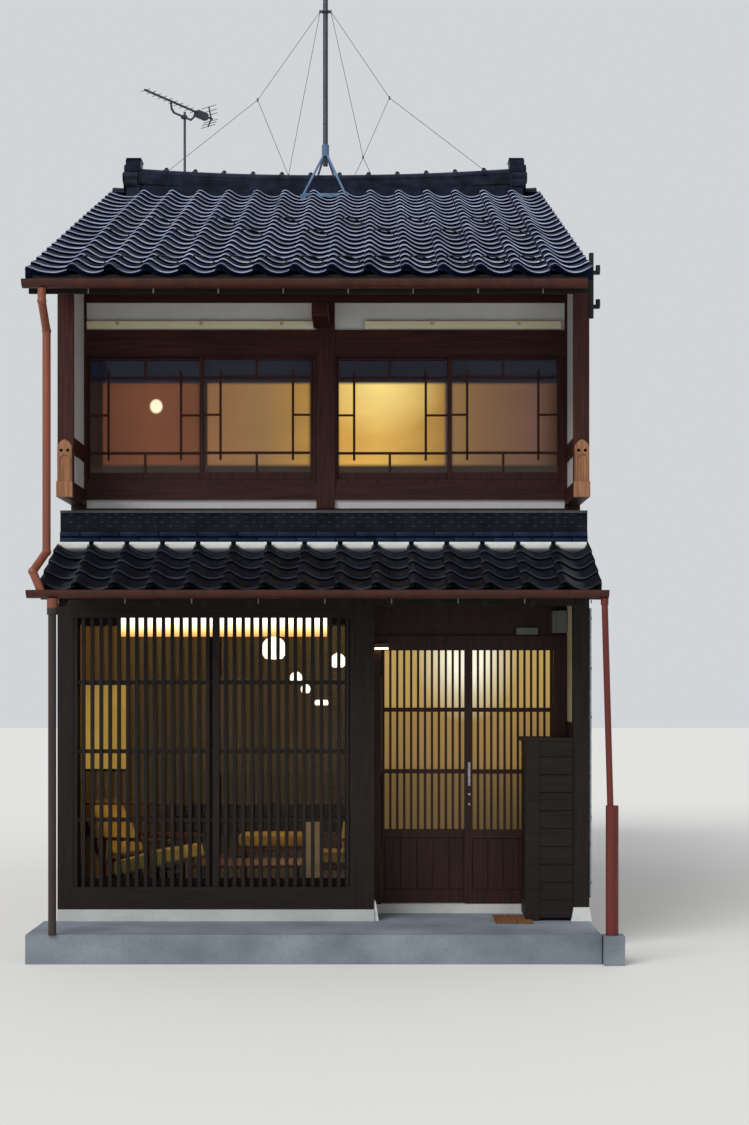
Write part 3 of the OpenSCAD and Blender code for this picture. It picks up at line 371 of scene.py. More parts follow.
def clearGlass(name):
    # float glass, with the soft mirror sheen of a polished pane; the low IOR keeps it faint, as at dusk
    material, place = newMaterial(name, {"Roughness": 0.0, "IOR": 1.2, "Transmission Weight": 1.0})
    smears = mottle(material, place, (1.2, 1.2, 3.0), 3.0, [(0.3, "#f3f3f0"), (0.7, "#e4e6e2")])
    return setShader(material, {"Base Color": smears})


def wovenWool(name, base, dim):
    # wool seat cloth, plain weave with threads about 1.5 mm apart
    material, place = newMaterial(name, {"Roughness": 0.9, "Specular IOR Level": 0.2, "Sheen Weight": 0.3})
    return setShader(material, {
        "Base Color": mottle(material, place, 9.0, 3.0, [(0.3, dim), (0.7, base)]),
        "Normal": relief(material, place, 650.0, 2.0, 0.4, 0.001)})


def partyPlaster(name):
    # rough mortar outside, brown clay plaster on the room side
    material, place = newMaterial(name, {"Roughness": 0.88, "Specular IOR Level": 0.25})
    across = addNode(material, "SeparateXYZ", {"Vector": place}, "X")
    side = addNode(material, "Math", {"operation": "ABSOLUTE", 0: across})
    share = addNode(material, "MapRange", {0: side, 1: 1.932, 2: 1.938})
    outside = addNode(material, "ValToRGB", {"Fac": share, "stops": [(0.0, 0.0), (1.0, 1.0)]})
    clay = mottle(material, place, 1.1, 6.0, [(0.3, "#5d4a2c"), (0.7, "#79613a")])
    mortar = mottle(material, place, 1.1, 6.0, [(0.3, "#87837c"), (0.7, "#96928b")])
    return setShader(material, {
        "Base Color": addNode(material, "Mix", {**blend, 0: outside, 6: clay, 7: mortar}, 2),
        "Normal": relief(material, place, 150, 3.0, 0.3, 0.001)})


def backPlaster(name):
    # lime plaster outside, dark clay plaster on the room side of the back wall
    material, place = newMaterial(name, {"Roughness": 0.85, "Specular IOR Level": 0.3})
    outside = tonesAlong(material, place, "Y", 3.553, 3.557, [(0.0, 0.0), (1.0, 1.0)])
    clay = mottle(material, place, 2.2, 5.0, [(0.3, "#2f2416"), (0.7, "#463722")])
    lime = mottle(material, place, 2.2, 5.0, [(0.3, "#d0cfcc"), (0.7, "#dcdbd8")])
    return setShader(material, {
        "Base Color": addNode(material, "Mix", {**blend, 0: outside, 6: clay, 7: lime}, 2),
        "Normal": relief(material, place, 420, 2.0, 0.25, 0.0006)})


def plasterWithPaintedShade(name):
    # lime plaster plugs: white above, greyed towards the foot by a painted shade
    material, place = newMaterial(name, {"Roughness": 0.85, "Specular IOR Level": 0.3})
    # painted shade: the plaster darkens towards its foot
    paintedFootShade = tonesAlong(material, place, "Z", 3.015, 3.105, [
        (0.0, "#232427"), (0.3, "#4a4b4f"), (0.46, "#8d8c8b"), (0.56, "#d2d0cb"), (1.0, "#dddbd6")])
    faint = mottle(material, place, 9.0, 4.0, [(0.3, 0.86), (0.7, 1.0)])
    return setShader(material, {
        "Base Color": addNode(material, "Mix", {**darken, 0: 1.0, 6: paintedFootShade, 7: faint}, 2),
        "Normal": relief(material, place, 420, 2.0, 0.25, 0.0006)})


def leftPipePaint(name):
    # copper-brown above, and dark brown below the pent gutter
    material, place = newMaterial(name, {"Roughness": 0.45})
    streaks = (14.0, 14.0, 1.4)
    upper = mottle(material, place, streaks, 4.0, [(0.3, "#6c3826"), (0.7, "#8a4a30")])
    lower = mottle(material, place, streaks, 4.0, [(0.3, "#1f1512"), (0.7, "#33231d")])
    above = tonesAlong(material, place, "Z", 2.565, 2.575, [(0.0, 0.0), (1.0, 1.0)])
    return setShader(material, {
        "Base Color": addNode(material, "Mix", {**blend, 0: above, 6: lower, 7: upper}, 2),
        "Normal": relief(material, place, 90.0, 3.0, 0.08, 0.001)})


# Frosted glass or paper with a lamp behind it: the glow is its own colour, the face a dimmer one
def litSurface(name, glow, strength, base=0.5):
    material, place = newMaterial(name, {"Roughness": 0.6, "Emission Strength": strength})
    source = glow(material, place)
    return setShader(material, {
        "Base Color": addNode(material, "Mix", {**blend, 0: 1.0 - base, 6: source, 7: "#000000"}, 2),
        "Emission Color": source, "Normal": relief(material, place, 260.0, 2.0, 0.05, 0.0003)})


def doorGlow(material, place):
    # painted light of the room behind the frosted panes: brighter upwards, a painted lamp spot behind the middle, a
    # painted shadow at the lower right
    tone = tonesAlong(material, place, "Z", 0.87, 2.25, [
        (0.0, "#5a4723"), (0.32, "#69532b"), (0.36, "#86693a"), (0.67, "#977841"), (0.71, "#ad8f50"), (1.0, "#b99b59")])
    lamp = glowSpot(material, place, (1.12, -3.12, 2.26), (0.42, 1.0, 0.55), [(0.0, 0.0), (0.35, 0.35), (0.7, 1.0)])
    tone = addNode(material, "Mix", {**blend, 0: lamp, 6: tone, 7: "#fffae0"}, 2)
    shadow = glowSpot(material, place, (1.75, -3.12, 0.8), (0.75, 1.0, 0.6), [(0.0, 1.0), (1.0, 0.45)])
    return addNode(material, "Mix", {**darken, 0: 1.0, 6: tone, 7: shadow}, 2)


def screenGlow(material, place):
    # what each paper screen shows of the lamp in its room, from left to right, and only between two heights
    half = 1.92
    across = [(-1.9, "#221c18"), (-1.885, "#21140d"), (-1.80, "#21140d"), (-1.79, "#5a2f1e"), (-1.4, "#6d3e25"),
              (-1.04, "#653923"), (-1.0, "#231713"), (-0.955, "#231713"), (-0.945, "#825938"), (-0.5, "#8a6741"),
              (-0.15, "#aa803b"), (-0.112, "#241c18"), (0.085, "#241c18"), (0.112, "#d39d48"), (0.42, "#d9a951"),
              (0.95, "#9f7735"), (0.965, "#2c283f"), (1.01, "#2c283f"), (1.025, "#88673c"), (1.3, "#735439"),
              (1.7, "#614337"), (1.83, "#3e2716"), (1.87, "#2a2018")]
    tone = tonesAlong(material, place, "X", -half, half, [((a + half) / (2 * half), c) for a, c in across])
    shine = glowSpot(material, place, (0.42, -2.9, 4.42), (0.55, 1.0, 0.42), [(0.0, 0.0), (1.0, 0.9)])
    tone = addNode(material, "Mix", {**blend, 0: shine, 6: tone, 7: "#ffe38c"}, 2)
    bulb = glowSpot(material, place, (-1.365, -2.9, 4.25), (0.075, 1.0, 0.085), [(0.25, 0.0), (0.45, 1.0)])
    tone = addNode(material, "Mix", {**blend, 0: bulb, 6: tone, 7: "#fff3cf"}, 2)
    lit = tonesAlong(material, place, "Z", 3.70, 4.62, [
        (0.0, 0.0), (0.07, 0.0), (0.1, 1.0), (0.785, 1.0), (0.81, 0.0), (1.0, 0.0)])
    # outside the lit band: painted shade of the unlit room below, turning to a painted reflection of the dusk sky
    # higher up
    dusk = tonesAlong(material, place, "Z", 3.7, 4.6, [
        (0.0, "#2f2215"), (0.1, "#271d17"), (0.2, "#0d1125"), (1.0, "#0a0c1b")])
    return addNode(material, "Mix", {**blend, 0: lit, 6: dusk, 7: tone}, 2)


def lampGlow(material, place):
    return mottle(material, place, 12.0, 1.0, [(0.3, "#fff0c8"), (0.7, "#fff8e6")])


def porchLampGlow(material, place):
    # only the foot of the small lamp is a diffuser, the rest is its dark cap
    return tonesAlong(material, place, "Z", 2.291, 2.337, [
        (0.0, "#fff2cf"), (0.26, "#ffe2a4"), (0.32, "#0d0a08"), (1.0, "#0d0a08")])


def coveGlow(material, place):
    # a strip lamp sits above the diffuser, so that its top is brightest
    return tonesAlong(material, place, "Z", 2.382, 2.521, [
        (0.0, "#a8743c"), (0.3, "#d9a866"), (0.6, "#fbe0ac"), (0.8, "#fff6da"), (1.0, "#fffaea")])


def backGlow(material, place):
    # paper screens of the dim rooms at the back
    return mottle(material, place, 1.1, 3.0, [(0.3, "#3a2e1a"), (0.7, "#544326")])


def blindGlow(material, place):
    # split reeds a few millimetres thick, tied in slanting rows, lit from the room behind
    across = addNode(material, "SeparateXYZ", {"Vector": place}, "X")
    height = addNode(material, "SeparateXYZ", {"Vector": place}, "Z")
    slant = addNode(material, "Math", {"operation": "MULTIPLY_ADD", 0: across, 1: 0.5, 2: height})
    rows = addNode(material, "Math", {"operation": "MULTIPLY", 0: slant, 1: 62.0})
    rib = addNode(material, "Math", {"operation": "FRACT", 0: rows})
    tone = addNode(material, "ValToRGB", {
        "Fac": rib, "stops": [(0.0, "#3a290d"), (0.35, "#644a1a"), (0.65, "#644a1a"), (1.0, "#3a290d")]})
    # painted light: the glow of the reeds fades towards their foot
    high = tonesAlong(material, place, "Z", 0.7, 2.5, [(0.0, 0.22), (0.45, 0.36), (0.75, 0.62), (1.0, 1.0)])
    tone = addNode(material, "Mix", {**darken, 0: 1.0, 6: tone, 7: high}, 2)
    thin = mottle(material, place, (6.0, 6.0, 0.8), 3.0, [(0.3, 0.6), (0.7, 1.0)])
    return addNode(material, "Mix", {**darken, 0: 1.0, 6: tone, 7: thin}, 2)


def panelGlow(material, place):
    return mottle(material, place, 2.0, 2.0, [(0.3, "#a27f36"), (0.7, "#ba9344")])


boardCells = {"start": (0.0, 0.0, 0.0), "size": (0.12, 50, 50)}
darkWood = stainedCedar("darkStainedCedar", "#120d0b", "#251b17")
darkWoodX = stainedCedar("darkStainedCedarLong", "#120d0b", "#251b17", "X")
darkWoodY = stainedCedar("darkStainedCedarDeep", "#120d0b", "#251b17", "Y")
redWood = stainedCedar("ironOxideCedar", "#2c120e", "#4d241c", roughness=0.5)
redWoodX = stainedCedar("ironOxideCedarLong", "#2c120e", "#4d241c", "X", roughness=0.5)
doorWood = stainedCedar("doorCedar", "#21110c", "#3c1f16", roughness=0.48)
tanWood = stainedCedar("weatheredCedar", "#7c5138", "#b5835d", roughness=0.65)
chairWood = stainedCedar("oiledBeech", "#4e2716", "#7a4224", roughness=0.45)
floorBoards = stainedCedar("pineFloorBoards", "#6b4b33", "#93704f", "Y", boards=boardCells)
whitePlaster = limePlaster("limePlaster", "#dcdbd8", "#c9c8c6")
creamPlaster = limePlaster("creamPlaster", "#cbbf98", "#b3a57c")
battenPaint = limePlaster("creamBattenPaint", "#f2eacb", "#e2d6b0", roughness=0.6)
roomMortar = limePlaster("floorMortar", "#4a4136", "#3a3329")
partyMortar = partyPlaster("partyWallMortar")
backWallPlaster = backPlaster("backWallPlaster")
plugPlaster = plasterWithPaintedShade("plugPlaster")
tileCells = {"start": (-1.837, 0.0, 0.0), "size": (0.2685, 0.2154, 50.0)}
pentCells = {"start": (-1.811, -4.35, 0.0), "size": (0.2722, 0.1975, 50.0)}
roofTile = glazedTile("glazedRoofTile", "#090d1a", "#162038", tileCells, coat=0.0, specular=0.018)
# the pale glaze of the tile lips is a painted highlight: the sky's reflection on their rounded front edges
roofLipHighlight = glazedTile("roofTileLipHighlight", "#737f9e", "#b4bfd8", tileCells, roughness=0.25)
pentTile = glazedTile("glazedPentTile", "#0c0d12", "#1b1e27", pentCells, roughness=0.34)
# the lighter glaze of the pent tile lips is a dimmer painted highlight on their front edges
pentLipHighlight = glazedTile("pentTileLipHighlight", "#22252d", "#3a3f4a", pentCells, roughness=0.3)
ridgeTile = glazedTile("glazedRidgeTile", "#10141d", "#293044",
                       {"start": (-2.0, 0.0, 0.0), "size": (0.273, 50.0, 0.036)})
noshiTile = glazedTile("glazedCourseTile", "#121b31", "#23324f",
                       {"start": (-2.03, 0.0, 0.0), "size": (0.302, 50.0, 50.0)})
bandTile = glazedTile("glazedBandTile", "#0d0e13", "#1c1e26", roughness=0.4)
bossTile = glazedTile("glazedBoss", "#232938", "#353d50", roughness=0.3)
concrete = sawnStone("trowelledConcrete", "#5f6872", "#858d96", "#4c5259", 160.0)
granite = sawnStone("sawnGranite", "#a3a3a1", "#c4c4c1", "#6d6d6c")
whiteStone = sawnStone("dressedGranite", "#c6c6c2", "#dededa", "#9b9b98")
gutterPaint = paintedSheet("redBrownGutter", "#4a2117", "#381a13")
copperPaint = leftPipePaint("copperBrownSheet")
redPipePaint = paintedSheet("redBrownPipe", "#6d2c22", "#52201a")
ledgePaint = paintedSheet("greySheetLedge", "#45494f", "#33363b", wear="#6b6258")
stripPaint = paintedSheet("greyStrap", "#8e939a", "#6f747b")
clipPaint = paintedSheet("greyClip", "#6f6d69", "#55534f")
bluePaint = paintedSheet("blueGreySteel", "#6782a3", "#4b6382", wear="#8a6a52")
ringIron = paintedSheet("tarredIron", "#1c1c1e", "#121214", 0.5)
zinc = dullZinc("galvanisedSteel", "#b4b8bb", "#8b8f93")
# the mast and aerial zinc is darker than the plain zinc: partly weathering, partly a painted shade of their backlit
# look
agedZincWithPaintedShade = dullZinc("agedGalvanisedSteelPaintedShade", "#5c6068", "#42454d", 0.6)
windowGlass = clearGlass("floatGlass")
doorGlass = litSurface("frostedDoorGlass", doorGlow, 0.88, base=0.42)
screenPaper = litSurface("litScreenPaper", screenGlow, 1.15, base=0.35)
backPaper = litSurface("backScreenPaper", backGlow, 0.5, base=0.4)
reedBlind = litSurface("reedBlind", blindGlow, 1.05, base=0.2)
setShader(reedBlind, {"Alpha": 0.5})  # a see-through blind
seatWool = wovenWool("mustardSeatWool", "#c9b045", "#9a8530")
panelPaper = litSurface("litPanelPaper", panelGlow, 0.85, base=0.4)
lampShade = litSurface("lampShade", lampGlow, 9.0)
porchShade = litSurface("porchLampShade", porchLampGlow, 4.0)
coveShade = litSurface("coveDiffuser", coveGlow, 2.2)
boxPlastic = paintedSheet("greyMouldedBox", "#6a6d6a", "#5b5e5a", 0.55)

cadLooks = {
    "foundation": concrete, "pipe_stone": concrete, "granite_sill": granite, "door_threshold": granite,
    "post_stones": whiteStone, "ground_posts": darkWood, "sill_beam": darkWoodX, "head_beam": darkWoodX,
    "front_lattice": darkWood, "front_window_frame": darkWood, "floor_beams": darkWoodX,
    "porch_ceiling": darkWoodY, "porch_trim": darkWoodY, "porch_screen": darkWoodX, "pent_rafters": darkWoodY,
    "eave_rafters": darkWoodY, "eave_boards": darkWoodX, "door_surround": doorWood,
    "door_leaf_left": doorWood, "door_leaf_right": doorWood, "upper_posts": redWood, "upper_beams": redWoodX,
    "upper_window_frames": redWoodX, "upper_sashes": redWood, "sleeve_frames": redWood,
    "back_window_frames": redWood, "sleeve_brackets": tanWood, "upper_floor": floorBoards,
    "ground_floor": roomMortar, "front_window_glass": windowGlass, "back_window_glass": windowGlass,
    "upper_glass": windowGlass, "door_glass_left": doorGlass, "door_glass_right": doorGlass,
    "upper_plaster": whitePlaster, "sleeve_plaster": whitePlaster, "back_wall_ground": backWallPlaster,
    "back_wall_upper": backWallPlaster, "porch_walls": creamPlaster, "party_wall_left": partyMortar,
    "party_wall_right": partyMortar, "pent_roof": darkWoodY, "pent_ridge": bandTile, "roof_front": darkWoodY,
    "roof_back": darkWoodY, "ridge": ridgeTile, "ridge_ends": ridgeTile, "pent_flashing": ledgePaint,
    "pent_gutter": gutterPaint, "upper_gutters": gutterPaint, "downpipe_left": copperPaint,
    "downpipe_right": redPipePaint, "upper_screens": screenPaper, "porch_lamp": porchShade,
    "meter_box": boxPlastic, "mast_stand": bluePaint, "mast": agedZincWithPaintedShade, "mast_stays": agedZincWithPaintedShade,
    "tv_aerial": agedZincWithPaintedShade,
}
for name, node in cadNodes.items():
    node.data.materials.clear()
    node.data.materials.append(cadLooks[name])
print("materials on", len(cadNodes), "CAD nodes")


# Pantiles: a wave with its roll at the left, points as (across, height) in mm

def makeTile(name, profile, length, lip, thickness, looks, pale=True):
    deselectAll()
    last = len(profile) - 1
    bpy.ops.mesh.primitive_grid_add(x_subdivisions=last, y_subdivisions=2, size=2)
    tile = bpy.context.object
    tile.name = name
    for look in looks:
        tile.data.materials.append(look)
    bpy.ops.object.mode_set(mode="EDIT")
    for i, (across, height) in enumerate(profile):
        start = -1 + 2 * i / last
        selectPoints(tile, lambda p, s=start: abs(p.x - s) < 0.5 / last and abs(p.z) < 1e-4)
        bpy.ops.transform.translate(value=(10 + across / 1000 - start, 0, height / 1000 + 0.5))
    for row, along in ((-1, 0.0), (0, lip), (1, length)):
        selectPoints(tile, lambda p, r=row: abs(p.y - r) < 0.1)
        drop = -0.008 if row == -1 else 0.0
        bpy.ops.transform.translate(value=(-10, 100 + along - row, -0.5 + drop))
    bpy.ops.mesh.select_all(action="SELECT")
    bpy.ops.transform.translate(value=(0, -100, 0))
    selectFaces(tile, lambda f: pale and f.calc_center_median().y < lip)  # the front edge, in the second material: a pale glaze that is a painted highlight
    tile.active_material_index = 1
    bpy.ops.object.material_slot_assign()
    leaveEdit()
    wall = tile.modifiers.new("wall", "SOLIDIFY")
    wall.thickness = thickness
    wall.offset = -1
    wall.material_offset = -1
    wall.material_offset_rim = -1
    bpy.ops.object.modifier_apply(modifier=wall.name)
    return tile


def layTiles(name, roof):
    # lays the tiles of one slope in rows and courses on a flat bed, then tips them to the slope
    slope = math.atan(roof["slope"])
    parts = []
    for part, profile, start, count in (
            ("Left", roof["leftProfile"], roof["left"], 1), ("", roof["profile"], roof["first"], roof["columns"]),
            ("Right", roof["rightProfile"], roof["first"] + roof["columns"] * roof["pitch"], 1)):
        tile = makeTile(name + part, profile, roof["length"], roof["lip"], roof["thick"], roof["looks"])
        editAll(tile)
        bpy.ops.transform.rotate(value=roof["tilt"], orient_axis="X", center_override=(0, 0, 0))
        leaveEdit()
        repeat(tile, roof["courses"], (0, roof["step"], 0))
        drip = makeTile(name + part + "Drip", profile, 0.018, 0.009, roof["drip"], roof["looks"], False)
        drip.location.z = -0.004
        whole = join(name + part, [tile, settle(drip)])
        whole.location.x = start
        parts.append(repeat(settle(whole), count, (roof["pitch"], 0, 0)))
    field = join(name, parts)
    field.rotation_euler = (slope, 0, 0)
    field.location = (0, roof["front"][0], roof["front"][1] + roof["raise"])
    return settle(field)


mainRoof = {
    "slope": 0.40, "front": (-4.38, 4.975), "raise": 0.026, "tilt": math.radians(6.1), "courses": 20,
    "step": 0.232, "length": 0.30, "lip": 0.016, "thick": 0.018, "drip": 0.045, "left": -2.138,
    "first": -1.837, "pitch": 0.2685, "columns": 13, "looks": [roofTile, roofLipHighlight],
    "profile": [(0, 22), (2, 44), (16, 54), (36, 62), (56, 58), (84, 40), (112, 22), (142, 8), (172, 1), (204, 0),
                (236, 6), (262, 15), (274, 20)],
    "leftProfile": [(0, -45), (2, 38), (18, 42), (56, 30), (100, 14), (146, 5), (186, 1), (222, 1), (256, 7),
                    (284, 15), (306, 20)],
    "rightProfile": [(0, 22), (2, 44), (16, 54), (36, 62), (56, 58), (84, 40), (112, 22), (142, 8), (176, 1),
                     (214, 3), (250, 14), (282, 30), (306, 42), (316, 43), (318, -45)],
}
frontTiles = layTiles("roofTilesFront", mainRoof)
for tiles in (frontTiles, mirrorToBack("roofTilesBack", frontTiles)):
    finish(tiles, None, smooth=38)

pentRoof = dict(mainRoof)
pentRoof.update({
    "slope": 0.445, "front": (-4.35, 2.682), "raise": 0.030, "courses": 4, "step": 0.215, "length": 0.29, "drip": 0.04,
    "left": -2.045, "first": -1.811, "pitch": 0.2722, "columns": 13, "looks": [pentTile, pentLipHighlight],
    "leftProfile": [(0, -48), (3, 58), (24, 56), (50, 44), (80, 25), (112, 10), (150, 2), (190, 0), (215, 8),
                    (240, 18)],
    "profile": [(0, 22), (2, 44), (16, 54), (36, 62), (56, 58), (84, 40), (112, 22), (142, 8), (172, 1), (204, 0),
                (236, 6), (262, 15), (277, 20)],
    "rightProfile": [(0, 22), (2, 44), (16, 54), (36, 62), (56, 58), (84, 40), (112, 22), (142, 8), (172, 1),
                     (200, 1), (230, 10), (262, 32), (290, 52), (308, 58), (311, -48)],
})
pentTiles = finish(layTiles("pentTiles", pentRoof), None, smooth=38)
print("tiles", len(frontTiles.data.polygons), len(pentTiles.data.polygons))

# Snow rings: flattened loops of wire that stand on the tiles
snowRing = {"half": 0.088, "height": 0.031, "wire": 0.006, "centre": 0.040, "lean": math.radians(12),
            "first": -1.682, "back": 0.05, "run": 0.2154, "rise": 0.0862, "tip": 0.31}
ringRows = [(1, range(0, 13)), (7, range(0, 13, 2)), (10, range(1, 13, 2))]
rings = []
for course, places in ringRows:
    for k in places:
        x = snowRing["first"] + mainRoof["pitch"] * k
        y = mainRoof["front"][0] + snowRing["run"] * course + snowRing["back"]
        z = (mainRoof["front"][1] + snowRing["rise"] * course + mainRoof["raise"] + snowRing["centre"]
             + snowRing["back"] * snowRing["tip"])
        loop = []
        for i in range(14):
            across = snowRing["half"] * math.cos(math.tau * i / 14)
            up = snowRing["height"] * math.sin(math.tau * i / 14)
            loop.append((x + across, y, z + up - across * math.tan(snowRing["lean"])))
        rings.append(addLoop("ring", loop, snowRing["wire"]))
snowRings = join("snowRingsFront", rings)
for row in (snowRings, mirrorToBack("snowRingsBack", snowRings)):
    finish(row, ringIron, smooth=50)

# Ridge cover tiles: half rounds with a wider lap and a knob at each joint, on the arc of the ridge
cover = {"half": 0.104, "height": 0.066, "base": 6.849, "first": -1.62, "pitch": 0.279, "lap": 0.045,
         "middle": -0.085, "arc": 26.14, "knob": 0.022, "ends": (-1.855, 1.685), "count": 13}


def addHalfRound(name, length, lapped):
    deselectAll()
    bpy.ops.mesh.primitive_cylinder_add(vertices=28, radius=1, depth=length, rotation=(0, math.radians(90), 0))
    piece = bpy.context.object
    piece.name = name
    settle(piece)
    editAll(piece)
    bpy.ops.mesh.bisect(plane_co=(0, 0, 0), plane_no=(0, 0, 1), clear_inner=True, use_fill=True)
    if lapped:
        for x in (length / 2 - cover["lap"], length / 2 - cover["lap"] - 0.003):
            bpy.ops.mesh.select_all(action="SELECT")
            bpy.ops.mesh.bisect(plane_co=(x, 0, 0), plane_no=(1, 0, 0))
        selectPoints(piece, lambda p: p.x > length / 2 - cover["lap"] - 0.001)
        bpy.ops.transform.resize(value=(1, 1.09, 1.10), center_override=(0, 0, 0))
    bpy.ops.mesh.select_all(action="SELECT")
    bpy.ops.transform.resize(value=(1, cover["half"], cover["height"]), center_override=(0, 0, 0))
    leaveEdit()
    return piece


coverTiles, beddingLines = [], []
for k in range(cover["count"]):
    knobX = cover["first"] + cover["pitch"] * k
    low = max(knobX - cover["pitch"] + cover["knob"], cover["ends"][0])
    high = min(knobX + cover["knob"], cover["ends"][1])
    lapped = k < cover["count"] - 1  # the last cover ends at the ridge end tile
    unit = addHalfRound("coverTile", high - low, lapped)
    if lapped:
        deselectAll()
        bpy.ops.mesh.primitive_uv_sphere_add(
            segments=12, ring_count=7, radius=cover["knob"],
            location=((high - low) / 2 - cover["knob"], 0, cover["height"] * 1.1 + 0.005))
        knob = bpy.context.object
        knob.scale = (1, 1, 0.95)
        unit = join("coverTile", [unit, settle(knob)])
    middle = (low + high) / 2 - cover["middle"]
    unit.rotation_euler = (0, -middle / cover["arc"], 0)
    unit.location = ((low + high) / 2, 0, cover["base"] + middle ** 2 / (2 * cover["arc"]))
    coverTiles.append(settle(unit))
    # the pale bedding line under the cover
    line = addBlock("beddingLine", (low, -0.108, 0.0), (high, 0.108, 0.007), 0.002)
    line.location.z = cover["base"] - 0.006 + middle ** 2 / (2 * cover["arc"])
    beddingLines.append(settle(line))
finish(join("ridgeCovers", coverTiles), ridgeTile, smooth=35)
vergeCaps = []
for x0, x1, lean in ((-2.124, -1.93, 0.05), (1.76, 1.946, -0.05)):
    cap = addHalfRound("vergeCap", x1 - x0, False)
    cap.scale = (1, 1.15, 1.0)
    cap.rotation_euler = (0, lean, 0)
    cap.location = ((x0 + x1) / 2, 0, 6.722)
    vergeCaps.append(settle(cap))
finish(join("vergeCaps", vergeCaps), ridgeTile, smooth=35)
# the bedding lines are coloured with the tile lips' painted-highlight material
finish(join("ridgeBedding", beddingLines), roofLipHighlight)
print("ridge covers done")

# White plaster plugs that close the tile troughs under the ornamental foot band
plug = {"front": -3.605, "back": -3.53, "top": 3.107, "bed": 3.027, "sink": 0.012, "bulge": 0.010,
        "profile": [(52, 62), (70, 53), (84, 43), (98, 32), (112, 23), (142, 9), (172, 1), (204, 0), (236, 6),
                    (262, 16), (272, 24), (275, 46), (286, 56)]}


def makePlug(name):
    deselectAll()
    last = len(plug["profile"]) - 1
    bpy.ops.mesh.primitive_grid_add(x_subdivisions=last, y_subdivisions=2, size=2)
    piece = bpy.context.object
    piece.name = name
    bpy.ops.object.mode_set(mode="EDIT")
    for i, (across, height) in enumerate(plug["profile"]):
        start = -1 + 2 * i / last
        low = plug["bed"] - plug["sink"] + height / 1000
        for row, share in ((-1, 0.0), (0, 0.55), (1, 1.0)):
            selectPoints(piece, lambda p, s=start, r=row: abs(p.x - s) < 0.5 / last and abs(p.y - r) < 0.1)
            out = plug["bulge"] * (1.0 if row == 0 else 0.0)
            bpy.ops.transform.translate(value=(10 + across / 1000 - start, 100 + plug["front"] - out - row,
                                               low + share * (plug["top"] - low)))
    bpy.ops.mesh.select_all(action="SELECT")
    bpy.ops.transform.translate(value=(-10, -100, 0))
    bpy.ops.mesh.extrude_region_move(TRANSFORM_OT_translate={"value": (0, plug["back"] - plug["front"], 0)})
    bpy.ops.mesh.select_all(action="SELECT")
    bpy.ops.mesh.normals_make_consistent(inside=False)
    leaveEdit()
    return piece


crescent = makePlug("plasterCrescents")
crescent.location.x = pentRoof["first"] - pentRoof["pitch"]
finish(repeat(settle(crescent), 15, (pentRoof["pitch"], 0, 0)), plugPlaster, smooth=40)

# Course tiles over the plugs: two rows with a rounded front edge, joints staggered
courseTile = {"length": 0.30, "pitch": 0.302, "end": 2.026, "front": -3.582, "back": -3.515, "round": 0.013,
              "shortest": 0.02, "rows": [(3.104, 3.141, -2.02), (3.148, 3.186, -2.02 - 0.151)]}
courses = []
for low, high, start in courseTile["rows"]:
    for k in range(15):
        x0 = max(start + courseTile["pitch"] * k, -courseTile["end"])
        x1 = min(start + courseTile["pitch"] * k + courseTile["length"], courseTile["end"])
        if x1 - x0 < courseTile["shortest"]:
            continue
        tile = addBlock("courseTile", (x0, courseTile["front"], low), (x1, courseTile["back"], high))
        editAll(tile)
        selectPoints(tile, lambda p: p.y < courseTile["front"] + 0.01)
        bpy.ops.mesh.bevel(offset=courseTile["round"], segments=3, affect="EDGES")
        leaveEdit()
        courses.append(tile)
finish(join("courseTiles", courses), noshiTile, smooth=40)

# Ornament band: rows of small flat domes, staggered by half a step
boss = {"face": -3.52, "half": (0.015, 0.0075), "height": 0.008, "pitch": 0.117, "end": 1.98,
        "rows": [(3.3235, 1.566), (3.299, 1.511), (3.265, 1.566), (3.231, 1.511)]}


def addBoss(at):
    deselectAll()
    bpy.ops.mesh.primitive_uv_sphere_add(segments=10, ring_count=6, radius=1, location=at,
                                         rotation=(math.radians(90), 0, 0))
    dome = bpy.context.object
    dome.name = "boss"
    dome.scale = (*boss["half"], boss["height"])
    settle(dome)
    editAll(dome)
    bpy.ops.mesh.bisect(plane_co=at, plane_no=(0, 1, 0), clear_outer=True)
    leaveEdit()
    return dome


bosses = []
for z, at in boss["rows"]:
    x = at - boss["pitch"] * math.floor((at + boss["end"]) / boss["pitch"])
    count = int((boss["end"] - x) / boss["pitch"]) + 1
    bosses.append(repeat(addBoss((x, boss["face"] + 0.001, z)), count, (boss["pitch"], 0, 0)))
finish(join("bandBosses", bosses), bossTile, smooth=60)
print("foot band done")

# Gutter straps with a small clip that hangs below
strap = {"radius": 0.0585, "width": 0.022, "thick": 0.0012, "clip": 0.036, "clipHalf": 0.004,
         "frontRows": [(-4.411, 4.933, [-1.674 + 0.4686 * k for k in range(8)]),
                       (-4.411, 2.697, [-1.89 + 0.4805 * k for k in range(9)])],
         "backRim": 4.933, "backStrap": 4.4095, "backClip": 4.411}


def addStrap(x, y, rim):
    deselectAll()
    bpy.ops.mesh.primitive_cylinder_add(
        vertices=24, radius=strap["radius"], depth=strap["width"], end_fill_type="NOTHING",
        location=(x, y, rim), rotation=(0, math.radians(90), 0))
    band = settle(bpy.context.object)
    band.name = "strap"
    editAll(band)
    bpy.ops.mesh.bisect(plane_co=(x, y, rim), plane_no=(0, 0, 1), clear_outer=True)
    leaveEdit()
    wall = band.modifiers.new("wall", "SOLIDIFY")
    wall.thickness = strap["thick"]
    wall.offset = 0
    bpy.ops.object.modifier_apply(modifier=wall.name)
    return band


def addClip(x, y, rim):
    low, half = rim - strap["radius"], strap["clipHalf"]
    return addBlock("clip", (x - half, y - half, low - strap["clip"]), (x + half, y + half, low + 0.002), 0.001)


